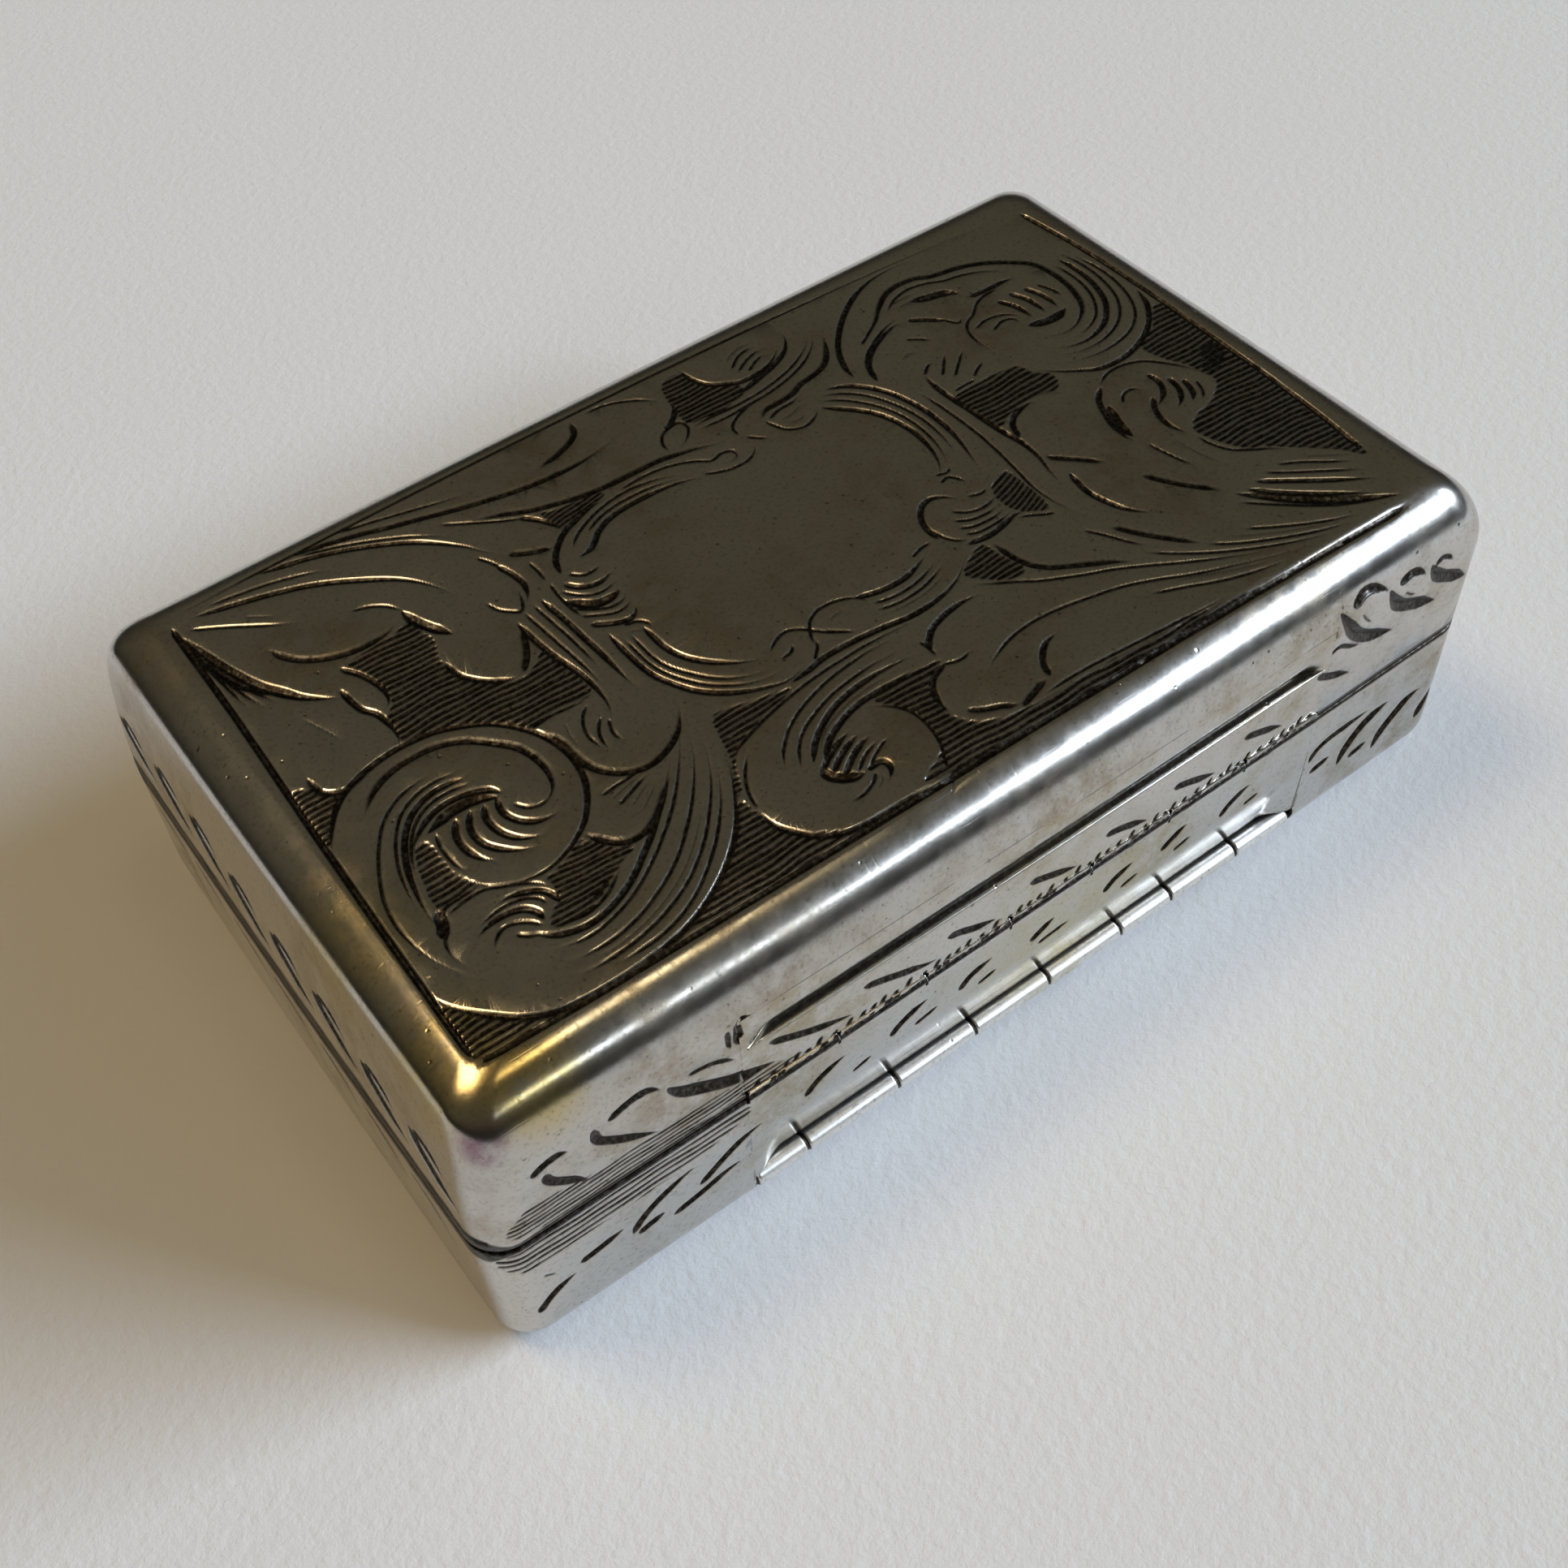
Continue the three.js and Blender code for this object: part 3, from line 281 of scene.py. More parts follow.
# cartouche frame
PANEL += [
    ("h", [(-6.42, 1.0), (-6.4, 0.3), (-6.36, -0.5), (-6.25, -1.3), (-5.95, -2.0), (-5.6, -2.6), (-5.1, -3.1), (-4.5, -3.5), (-3.8, -3.8), (-3.2, -3.95), (-2.5, -3.78), (-1.9, -3.45)]),
    ("m", [(-6.15, 0.6), (-6.1, -0.5), (-6.0, -1.2), (-5.7, -1.9), (-5.2, -2.6), (-4.6, -3.1), (-4.0, -3.4), (-3.3, -3.52), (-2.6, -3.4)]),
    ("m", [(-5.9, 0.6), (-5.86, -0.6), (-5.7, -1.3), (-5.3, -2.0), (-4.8, -2.6), (-4.2, -3.0), (-3.5, -3.22), (-2.9, -3.2)]),
    ("h", [(-5.42, 0.6), (-5.36, -0.5), (-5.15, -1.2), (-4.8, -1.72), (-4.3, -2.2), (-3.7, -2.6), (-3.05, -2.78)]),
    ("m", [(-3.0, -2.72), (-2.6, -2.42), (-2.15, -2.28), (-1.75, -2.45), (-1.4, -2.8), (-1.0, -3.2), (-0.55, -3.55), (-0.2, -3.8)]),
    ("m", [(-1.75, -3.3), (-1.6, -2.85), (-1.3, -2.4), (-0.85, -2.15), (-0.3, -2.15), (0.2, -2.32), (0.52, -2.62), (0.5, -3.0), (0.25, -3.4)]),
    ("f", [(-0.85, -2.75), (-0.45, -2.62), (0.0, -2.72)]),
    ("m", [(-2.85, -3.12), (-2.45, -3.05), (-2.2, -2.75)]),
    ("m", [(-2.1, -3.75), (-1.75, -3.4), (-1.55, -3.0)]),
    ("m", [(-1.2, -2.95), (-0.8, -3.3), (-0.35, -3.65)]),
    ("h", [(0.3, -2.42), (0.9, -2.6), (1.5, -2.7), (2.2, -2.66), (2.9, -2.42), (3.4, -2.2)]),
    ("m", [(2.8, -2.12), (3.3, -1.95), (3.85, -1.95)]),
    ("m", [(0.6, -2.95), (1.3, -3.1), (2.1, -3.08), (2.9, -2.85), (3.5, -2.55)]),
    ("m", [(0.55, -3.25), (1.3, -3.4), (2.2, -3.35), (3.0, -3.1), (3.7, -2.75)]),
    ("f", [(0.5, -3.5), (1.3, -3.62), (2.2, -3.58), (3.0, -3.34), (3.8, -2.95)]),
    ("h", [(-3.3, -4.1), (-2.5, -3.98), (-1.8, -3.85), (-0.8, -3.85), (0.3, -3.95), (1.2, -4.08), (2.1, -4.05), (2.8, -3.9), (3.4, -3.65), (4.0, -3.2), (4.45, -2.78)]),
    ("h", [(-6.2, 4.0), (-6.02, 4.65), (-5.6, 5.2), (-5.1, 5.6), (-4.5, 5.86), (-3.8, 6.06), (-3.0, 6.16)]),
    ("m", [(-5.35, 4.75), (-4.9, 5.2), (-4.4, 5.5), (-3.8, 5.76), (-3.2, 5.92), (-2.5, 6.0), (-1.8, 5.92), (-1.2, 5.76), (-0.7, 5.5), (-0.2, 5.28)]),
    ("m", [(-4.6, 5.1), (-4.0, 5.42), (-3.3, 5.62), (-2.5, 5.68), (-1.7, 5.62), (-1.0, 5.45), (-0.5, 5.25)]),
    ("h", [(-5.4, 4.3), (-4.9, 4.4), (-4.6, 4.62), (-4.3, 4.9), (-3.8, 5.18), (-3.2, 5.33), (-2.5, 5.38), (-1.7, 5.36), (-1.0, 5.26), (-0.4, 5.08), (0.2, 4.9)]),
    ("m", [(-2.7, 6.15), (-1.8, 6.24), (-1.0, 6.18), (-0.4, 6.0), (0.1, 5.75), (0.5, 5.5)]),
    ("m", [(-0.6, 6.1), (0.0, 5.8), (0.45, 5.5), (0.9, 5.6), (1.25, 5.45), (1.2, 5.15), (0.85, 5.1), (0.6, 5.3)]),
    ("m", [(-0.2, 5.15), (0.3, 4.9), (0.8, 4.75), (1.4, 4.78), (1.8, 5.0), (1.97, 5.3), (1.9, 5.6)]),
    ("m", [(2.0, 5.75), (2.3, 5.45), (2.6, 5.2)]),
    ("m", [(2.9, 6.1), (3.05, 5.65), (3.3, 5.2), (3.8, 4.98), (4.3, 5.12), (4.65, 5.4), (4.75, 5.8)]),
    ("f", [(3.4, 5.75), (3.8, 5.75), (4.2, 5.9), (4.6, 6.0)]),
    ("f", [(3.5, 5.45), (3.9, 5.38), (4.35, 5.5)]),
    ("h", [(4.75, 5.45), (5.2, 5.02), (5.7, 4.5), (6.1, 3.9), (6.35, 3.2), (6.46, 2.4), (6.4, 1.6), (6.2, 0.9), (5.9, 0.4), (5.55, -0.1)]),
    ("m", [(4.9, 5.75), (5.5, 5.35), (6.0, 4.8), (6.4, 4.15), (6.66, 3.4), (6.76, 2.5), (6.68, 1.6), (6.46, 0.85), (6.15, 0.3), (5.9, -0.1)]),
    ("m", [(5.1, 5.95), (5.8, 5.55), (6.35, 4.98), (6.75, 4.2), (7.0, 3.4), (7.1, 2.5), (7.02, 1.5), (6.8, 0.7), (6.5, 0.1)]),
    ("h", [(5.4, 6.1), (6.1, 5.8), (6.65, 5.25), (7.08, 4.5), (7.36, 3.5), (7.46, 2.5), (7.4, 1.5), (7.22, 0.6), (7.0, -0.2), (6.75, -0.8)]),
    ("m", [(5.7, 0.4), (6.1, 0.3), (6.4, 0.5)]),
    ("m", [(5.6, 0.0), (5.95, 0.1), (6.2, -0.2), (6.3, -0.6)]),
    ("h", [(3.95, -2.0), (3.95, -1.35), (4.1, -0.9), (4.4, -0.52), (4.8, -0.36), (5.2, -0.5), (5.5, -0.8), (5.8, -1.1)]),
    ("m", [(4.02, -1.5), (4.12, -2.0), (4.4, -2.4), (4.85, -2.62)]),
    ("m", [(5.0, -1.2), (5.4, -1.55), (5.9, -1.7), (6.45, -1.6), (6.8, -1.35)]),
    ("m", [(4.8, -1.6), (5.3, -1.9), (5.95, -1.98), (6.55, -1.85)]),
    ("m", [(4.7, -1.95), (5.2, -2.2), (5.95, -2.25), (6.6, -2.1)]),
    ("m", [(4.7, -2.3), (5.2, -2.5), (5.95, -2.5), (6.7, -2.35)]),
    ("h", [(4.5, -2.7), (5.3, -2.82), (6.0, -2.7), (6.6, -2.58), (7.1, -2.72)]),
    ("m", [(5.9, -1.0), (6.3, -1.15), (6.7, -1.05)]),
]
# shell on the cartouche's left
PANEL += [
    ("m", [(-6.05, 3.9), (-5.65, 3.55), (-5.25, 3.55), (-4.88, 3.72)]),
    ("h", [(-6.4, 3.6), (-6.0, 3.15), (-5.5, 2.98), (-5.0, 3.1), (-4.75, 3.25)]),
    ("m", [(-6.65, 3.4), (-6.2, 2.85), (-5.7, 2.6), (-5.2, 2.65), (-4.78, 2.85)]),
    ("g", [(-6.75, 2.95), (-6.3, 2.45), (-5.9, 2.22), (-5.4, 2.22), (-5.0, 2.4)]),
    ("m", [(-6.7, 2.5), (-6.2, 2.1), (-5.7, 1.85), (-5.2, 1.92), (-4.9, 2.2)]),
    ("m", [(-6.7, 2.1), (-6.2, 1.78), (-5.7, 1.55), (-5.25, 1.62), (-4.9, 1.9)]),
    ("h", [(-6.65, 1.6), (-6.2, 1.3), (-5.7, 1.08), (-5.3, 1.15), (-4.98, 1.6)]),
    ("m", [(-6.7, 3.9), (-6.75, 3.2), (-6.7, 2.4), (-6.55, 1.7)]),
    ("m", [(-5.85, 0.95), (-5.4, 0.82), (-5.18, 0.5), (-5.3, 0.25)]),
    ("f", [(-5.9, 0.6), (-5.6, 0.5), (-5.5, 0.25)]),
]
# small volute, front middle
PANEL += [
    ("m", [(-6.3, -5.45), (-5.5, -5.05), (-4.5, -4.72), (-3.5, -4.48), (-2.5, -4.32), (-1.5, -4.24), (-0.5, -4.2), (0.5, -4.25), (1.5, -4.35), (2.4, -4.4)]),
    ("m", [(-5.25, -6.7), (-4.9, -6.1), (-4.4, -5.6), (-3.8, -5.2), (-3.1, -4.9), (-2.3, -4.66), (-1.4, -4.52), (-0.5, -4.46), (0.4, -4.52), (1.15, -4.72)]),
    ("m", [(-4.9, -7.0), (-4.5, -6.3), (-4.0, -5.82), (-3.4, -5.5), (-2.6, -5.2), (-1.8, -5.05), (-0.9, -4.96), (0.0, -5.0), (0.85, -5.12)]),
    ("h", [(-4.5, -7.0), (-4.0, -6.4), (-3.4, -5.95), (-2.7, -5.6), (-1.9, -5.4), (-1.0, -5.32), (0.0, -5.38), (0.75, -5.5)]),
    ("f", [(-4.2, -6.9), (-3.7, -6.35), (-3.1, -6.0), (-2.4, -5.75), (-1.6, -5.62), (-0.6, -5.6), (0.3, -5.66)]),
    ("h", [(-4.2, -7.1), (-3.6, -6.55), (-3.0, -6.22), (-2.3, -5.98), (-1.5, -5.9), (-0.5, -5.88), (0.6, -5.92)]),
    ("m", [(0.78, -5.05), (0.85, -5.5), (0.8, -5.98)]),
    ("h", [(-4.35, -7.3), (-3.95, -7.02), (-3.4, -6.76), (-2.85, -6.6)]),
    ("h", [(-4.2, -7.58), (-3.75, -7.25), (-3.2, -6.98), (-2.65, -6.82)]),
    ("h", [(-4.0, -7.85), (-3.5, -7.48), (-3.0, -7.22), (-2.45, -7.08)]),
    ("m", [(-3.65, -8.0), (-3.2, -7.66), (-2.8, -7.48), (-2.35, -7.36)]),
    ("m", [(-3.25, -8.02), (-2.9, -7.78), (-2.5, -7.58), (-2.05, -7.48)]),
    ("g", [(-4.3, -7.15), (-4.42, -7.5), (-4.2, -7.85), (-3.8, -8.08), (-3.4, -8.12)]),
    ("h", [(-3.4, -8.1), (-3.0, -8.05), (-2.82, -8.22), (-2.9, -8.52), (-3.2, -8.8)]),
    ("m", [(-3.25, -8.25), (-3.5, -8.52), (-3.9, -8.7), (-4.3, -8.76), (-4.7, -8.7)]),
    ("f", [(-3.15, -8.4), (-3.3, -8.65), (-3.7, -8.9)]),
    ("r", [(-6.68, -7.4), (-6.6, -8.1), (-6.3, -8.62), (-5.9, -9.1), (-5.4, -9.4), (-4.8, -9.55), (-3.5, -9.58), (-2.5, -9.58), (-1.7, -9.52)]),
    ("m", [(-6.68, -7.4), (-6.55, -6.75), (-6.3, -6.2), (-5.9, -5.7), (-5.5, -5.3)]),
    ("m", [(-1.65, -9.6), (-1.45, -9.1), (-1.2, -8.6), (-1.06, -8.0), (-1.05, -7.4), (-1.2, -6.9), (-1.55, -6.5), (-2.0, -6.2), (-2.6, -6.05)]),
]
# leaf running to the front right corner
PANEL += [
    ("h", [(0.85, -6.22), (0.3, -6.42), (-0.02, -6.72), (-0.2, -7.15), (-0.25, -7.6), (-0.15, -8.05)]),
    ("m", [(0.75, -6.22), (1.3, -6.38), (1.9, -6.25)]),
    ("h", [(0.82, -5.6), (1.0, -5.25), (1.4, -4.9), (1.9, -4.7), (2.5, -4.58), (3.1, -4.58), (3.7, -4.72)]),
    ("r", [(0.2, -8.0), (0.6, -8.28), (1.1, -8.5), (1.65, -8.85)]),
    ("l", [(1.6, -8.95), (2.2, -8.75), (2.85, -8.52)]),
    ("m", [(2.3, -8.95), (3.1, -8.9), (4.0, -8.9), (5.2, -8.98), (6.6, -9.08), (8.2, -9.2), (10, -9.32)]),
    ("h", [(2.95, -8.5), (3.1, -8.0), (3.4, -7.62), (3.8, -7.36), (4.4, -7.3)]),
    ("m", [(1.6, -7.25), (2.2, -6.92), (3.0, -6.62), (4.0, -6.5), (5.0, -6.58), (6.0, -6.78), (7.0, -7.02), (8.0, -7.42), (9.0, -7.92), (10.2, -8.4), (11.8, -8.95), (13.4, -9.35)]),
    ("m", [(3.4, -4.1), (4.1, -4.55), (4.7, -4.92), (5.2, -5.28), (5.8, -5.6), (6.5, -5.95), (7.3, -6.3), (8.2, -6.8), (9.2, -7.4), (10.3, -8.0), (11.6, -8.6), (13.0, -9.1)]),
    ("l", [(5.12, -3.1), (5.18, -3.9), (5.4, -4.6), (5.8, -5.08), (6.3, -5.4), (6.9, -5.75), (7.6, -6.15), (8.3, -6.65)]),
    ("m", [(7.4, -7.75), (8.5, -8.2), (9.5, -8.65), (10.6, -9.0), (12.2, -9.35)]),
    ("f", [(8.2, -7.7), (9.2, -8.15), (10.4, -8.65), (11.8, -9.1)]),
    ("m", [(8.5, -6.3), (9.2, -6.9), (10.0, -7.5), (11.0, -8.1), (12.0, -8.6), (13.0, -9.0), (14.2, -9.35)]),
    ("m", [(10.2, -7.15), (11.0, -7.75), (12.2, -8.4), (13.5, -8.95), (15.0, -9.4)]),
    ("f", [(10.9, -7.3), (12.0, -8.0), (13.2, -8.6), (14.6, -9.15)]),
    ("m", [(11.6, -7.4), (12.6, -8.05), (13.8, -8.7), (15.2, -9.25)]),
    ("g", [(12.5, -6.05), (13.2, -6.8), (14.0, -7.6), (15.0, -8.4), (16.0, -9.0), (16.8, -9.42)]),
    ("m", [(12.3, -6.4), (13.2, -7.25), (14.2, -8.1), (15.2, -8.75), (16.2, -9.25)]),
    ("h", [(12.95, -6.15), (13.6, -6.85), (14.5, -7.65), (15.3, -8.25), (16.3, -8.95)]),
    ("h", [(13.4, -6.05), (14.2, -6.65), (15.2, -7.4), (16.0, -7.95), (16.8, -8.5)]),
    ("m", [(13.9, -5.9), (14.6, -6.45), (15.4, -7.0), (16.2, -7.55), (16.9, -8.0)]),
    ("m", [(14.5, -5.9), (15.2, -6.3), (16.0, -6.9), (16.8, -7.45)]),
    ("f", [(15.4, -6.1), (16.1, -6.6), (16.9, -7.15)]),
    ("f", [(-1.7, -9.85), (-1.9, -10.05), (-2.05, -10.2)]),
]
# stems and small volute, right
PANEL += [
    ("h", [(8.5, 4.6), (8.45, 3.8), (8.5, 3.0), (8.6, 2.2), (8.66, 1.4), (8.76, 0.6), (8.88, 0.0), (8.9, -0.5), (8.86, -1.0), (8.7, -1.7), (8.62, -2.4), (8.72, -3.0)]),
    ("m", [(7.8, 4.0), (7.95, 3.0), (8.02, 2.0), (8.05, 1.0), (8.0, 0.0), (7.9, -1.0), (7.8, -2.0), (7.9, -3.0), (8.2, -3.9), (8.6, -4.7)]),
    ("r", [(9.05, -1.05), (9.5, -1.5), (10.0, -2.0), (10.45, -2.55)]),
    ("h", [(9.12, -2.1), (9.05, -2.6), (9.0, -3.2), (9.12, -3.8), (9.4, -4.5), (9.8, -5.0), (10.2, -5.3)]),
    ("l", [(8.45, -4.85), (8.85, -5.5), (9.3, -6.12), (9.8, -6.7), (10.3, -7.2)]),
    ("m", [(7.7, -4.4), (8.1, -5.0), (8.5, -5.7), (9.0, -6.4)]),
    ("l", [(10.8, -3.65), (11.1, -4.2), (11.5, -4.8), (12.0, -5.4), (12.5, -5.85)]),
    ("m", [(7.6, -3.3), (7.2, -3.1), (6.8, -2.85), (6.3, -2.7)]),
    ("h", [(9.0, 0.15), (9.2, 0.75), (9.6, 1.12), (10.2, 1.28), (10.75, 1.22)]),
    ("h", [(12.75, 0.45), (12.25, 0.0), (11.92, -0.7), (11.72, -1.4), (11.72, -2.1), (11.95, -2.55)]),
    ("g", [(12.3, -0.4), (12.05, -1.0), (11.9, -1.6), (11.9, -2.2)]),
    ("m", [(12.0, -2.6), (12.15, -3.3), (12.35, -4.0), (12.6, -4.6)]),
    ("m", [(12.75, -0.65), (13.05, -0.32), (13.45, -0.28), (13.8, -0.6)]),
    ("h", [(13.75, -1.0), (13.35, -1.55), (13.18, -2.2), (13.28, -2.8), (13.5, -3.2)]),
    ("h", [(14.35, 0.0), (14.42, -0.5), (14.2, -1.0), (13.8, -1.32), (13.45, -1.5)]),
    ("h", [(14.8, -0.55), (14.7, -1.2), (14.35, -1.7), (13.9, -1.95)]),
    ("h", [(15.12, -0.95), (14.95, -1.6), (14.55, -2.05)]),
    ("m", [(15.42, -1.25), (15.22, -1.8), (14.85, -2.2)]),
    ("m", [(12.75, 0.5), (13.3, 0.82), (14.0, 0.86), (14.7, 0.6), (15.2, 0.1), (15.55, -0.4), (15.85, -1.0), (16.0, -1.65)]),
    ("m", [(13.5, -3.3), (13.6, -3.9), (13.9, -4.5), (14.4, -4.9), (15.0, -5.3), (15.6, -5.9)]),
    ("f", [(12.9, -2.9), (12.9, -3.6), (13.1, -4.4), (13.5, -5.1)]),
]
# large volute, back right
PANEL += [
    ("h", [(6.6, 5.9), (6.68, 6.6), (7.0, 7.4), (7.5, 8.1), (8.2, 8.8), (9.0, 9.4), (9.8, 9.8), (10.7, 10.02), (12.0, 10.05)]),
    ("m", [(7.15, 5.6), (7.3, 6.2), (7.7, 6.7), (8.3, 7.1), (8.9, 7.4), (9.6, 7.62), (10.15, 7.75)]),
    ("h", [(7.1, 5.3), (7.28, 6.0), (7.6, 6.45), (8.1, 6.85), (8.7, 7.15), (9.4, 7.35), (10.0, 7.3)]),
    ("m", [(7.8, 7.2), (8.6, 7.7), (9.2, 8.1), (9.7, 8.5)]),
    ("l", [(8.6, 7.75), (9.2, 8.15), (9.7, 8.55), (10.2, 8.9), (10.8, 9.06), (11.5, 9.0), (12.0, 8.75), (12.6, 8.62), (13.2, 8.5), (13.9, 8.22),
           (14.4, 7.9), (15.0, 7.4), (15.32, 7.0), (15.45, 6.5), (15.5, 5.8), (15.4, 5.0), (15.1, 4.2), (14.6, 3.7), (14.0, 3.42), (13.4, 3.5), (13.0, 3.85), (12.9, 4.3)]),
    ("m", [(9.6, 8.1), (10.2, 8.5), (10.9, 8.7), (11.6, 8.6), (12.3, 8.3), (13.0, 8.15), (13.7, 7.85), (14.3, 7.4), (14.8, 6.9)]),
    ("m", [(15.9, 6.6), (16.0, 5.8), (15.95, 5.0), (15.7, 4.2), (15.2, 3.5), (14.5, 3.1), (13.8, 3.0), (13.2, 3.1)]),
    ("h", [(16.2, 6.8), (16.35, 6.0), (16.3, 5.0), (16.0, 4.0), (15.5, 3.3), (14.9, 2.85), (14.1, 2.62), (13.4, 2.7), (12.9, 3.0), (12.6, 3.35)]),
    ("m", [(16.5, 7.0), (16.7, 6.0), (16.68, 4.9), (16.4, 3.8), (15.8, 2.95), (15.0, 2.45), (14.1, 2.25), (13.3, 2.35), (12.7, 2.65), (12.2, 3.05)]),
    ("m", [(16.8, 6.6), (17.0, 5.5), (16.98, 4.5), (16.7, 3.4), (16.2, 2.6), (15.4, 2.05), (14.3, 1.82), (13.3, 1.92), (12.5, 2.25), (12.0, 2.6)]),
    ("h", [(17.25, 3.7), (16.95, 2.85), (16.4, 2.12), (15.8, 1.65), (15.0, 1.28), (14.2, 1.12), (13.4, 1.18), (12.8, 1.5), (12.2, 1.92), (11.6, 2.5), (11.2, 3.1)]),
    ("m", [(13.6, 6.78), (12.8, 6.72), (12.3, 6.5), (11.9, 6.15), (11.5, 5.95), (11.2, 5.6), (11.06, 5.0), (11.1, 4.2), (11.2, 3.5)]),
    ("h", [(12.4, 7.0), (13.0, 6.95), (13.8, 6.95), (14.5, 6.85)]),
    ("m", [(11.4, 5.45), (12.0, 5.62), (12.6, 5.52), (13.0, 5.2), (13.1, 4.8)]),
    ("m", [(11.85, 5.0), (12.4, 5.22), (12.8, 5.1), (12.92, 4.6)]),
    ("g", [(12.95, 4.5), (13.5, 4.3), (14.1, 4.25), (14.7, 4.45)]),
    ("h", [(13.0, 6.2), (13.3, 5.6), (13.4, 5.0), (13.4, 4.6)]),
    ("h", [(13.6, 6.3), (13.9, 5.6), (13.95, 4.9), (13.9, 4.5)]),
    ("h", [(14.2, 6.2), (14.45, 5.5), (14.48, 4.9), (14.4, 4.5)]),
    ("m", [(14.7, 6.1), (14.95, 5.4), (14.95, 4.9)]),
    ("m", [(8.55, 4.6), (8.9, 4.9), (9.2, 4.95)]),
    ("m", [(9.3, 3.9), (9.8, 4.35), (10.2, 4.7), (10.5, 4.9)]),
    ("m", [(9.0, 4.2), (9.45, 4.7), (9.8, 5.1)]),
    ("m", [(9.8, 3.5), (10.15, 3.75), (10.6, 3.95)]),
    ("m", [(9.2, 6.5), (9.6, 6.2), (9.95, 5.85)]),
    ("f", [(8.4, 5.7), (8.8, 5.82), (9.2, 5.6)]),
    ("h", [(9.9, 7.3), (10.4, 6.95), (10.8, 6.6), (11.15, 6.3)]),
    ("m", [(8.8, 3.3), (9.4, 3.35), (9.9, 3.3)]),
    ("m", [(10.9, 6.5), (11.2, 6.1), (11.5, 6.3)]),
    ("g", [(10.6, 8.1), (11.2, 7.9), (11.9, 7.7), (12.3, 7.3)]),
    ("f", [(9.9, 8.35), (10.6, 8.4), (11.3, 8.3)]),
    ("f", [(10.0, 8.05), (10.7, 8.1), (11.4, 8.0)]),
]
# back edge: scrolls, bud and small volute
PANEL += [
    ("l", [(-7.2, 7.9), (-6.2, 7.42), (-5.5, 7.08), (-4.8, 6.86), (-3.8, 6.62), (-2.8, 6.52), (-1.8, 6.52), (-1.0, 6.52), (-0.4, 6.42), (0.3, 6.28), (1.0, 6.08), (1.75, 5.92)]),
    ("m", [(-8.2, 8.4), (-7.2, 7.75), (-6.4, 7.25), (-5.7, 6.92), (-5.0, 6.7)]),
    ("h", [(-5.95, 7.05), (-5.6, 6.7), (-5.32, 6.3), (-5.15, 5.85), (-5.15, 5.6)]),
    ("r", [(-2.2, 10.05), (-2.3, 9.55), (-2.6, 9.2), (-3.1, 8.95), (-3.6, 8.78), (-4.4, 8.7)]),
    ("m", [(-1.6, 10.1), (-0.8, 10.05), (0.0, 9.7), (0.5, 9.3), (0.9, 8.8)]),
    ("m", [(-0.4, 6.7), (-0.36, 7.2), (-0.1, 7.58), (0.3, 7.74), (0.65, 7.75), (0.76, 7.4), (0.5, 7.0), (0.1, 6.72), (-0.4, 6.68)]),
    ("h", [(0.1, 7.75), (0.5, 7.95), (0.9, 8.4), (1.0, 8.9)]),
    ("h", [(2.15, 10.0), (2.2, 9.4), (2.45, 8.85), (2.95, 8.45), (3.5, 8.2), (4.2, 8.2), (4.9, 8.45), (5.4, 8.85), (5.55, 9.35)]),
    ("m", [(3.6, 8.95), (4.1, 9.35), (4.6, 9.5), (5.0, 9.4)]),
    ("m", [(3.7, 8.7), (4.3, 9.05), (4.8, 9.2), (5.15, 9.1)]),
    ("m", [(4.0, 8.5), (4.5, 8.8), (5.0, 8.95)]),
    ("f", [(3.6, 9.3), (4.0, 9.6), (4.6, 9.75), (5.2, 9.6)]),
    ("h", [(3.0, 7.75), (3.6, 7.85), (4.2, 8.02), (4.9, 8.25), (5.6, 8.65), (6.0, 9.2), (6.1, 9.8)]),
    ("m", [(0.85, 7.28), (1.6, 7.32), (2.6, 7.28), (3.6, 7.35), (4.6, 7.55), (5.5, 7.88), (6.25, 8.35), (6.7, 8.9), (6.85, 9.5)]),
    ("m", [(0.9, 7.05), (2.0, 6.98), (3.0, 7.05), (4.0, 7.15), (5.0, 7.4), (5.9, 7.8), (6.6, 8.4), (7.0, 9.1), (7.05, 9.7)]),
    ("l", [(2.88, 6.15), (3.3, 6.42), (3.9, 6.45), (4.5, 6.55), (5.0, 6.78), (5.6, 6.88), (6.2, 7.1), (6.65, 7.55), (7.0, 8.2), (7.2, 8.9)]),
    ("m", [(1.85, 5.95), (1.9, 6.4), (2.2, 6.7), (2.7, 6.92), (3.4, 7.02)]),
    ("m", [(3.1, 6.0), (3.6, 6.2), (4.2, 6.25), (4.7, 6.4)]),
    ("f", [(-3.3, 6.2), (-4.2, 6.4), (-5.0, 6.55)]),
    ("f", [(-3.9, 6.15), (-4.6, 6.2), (-5.1, 6.3)]),
]
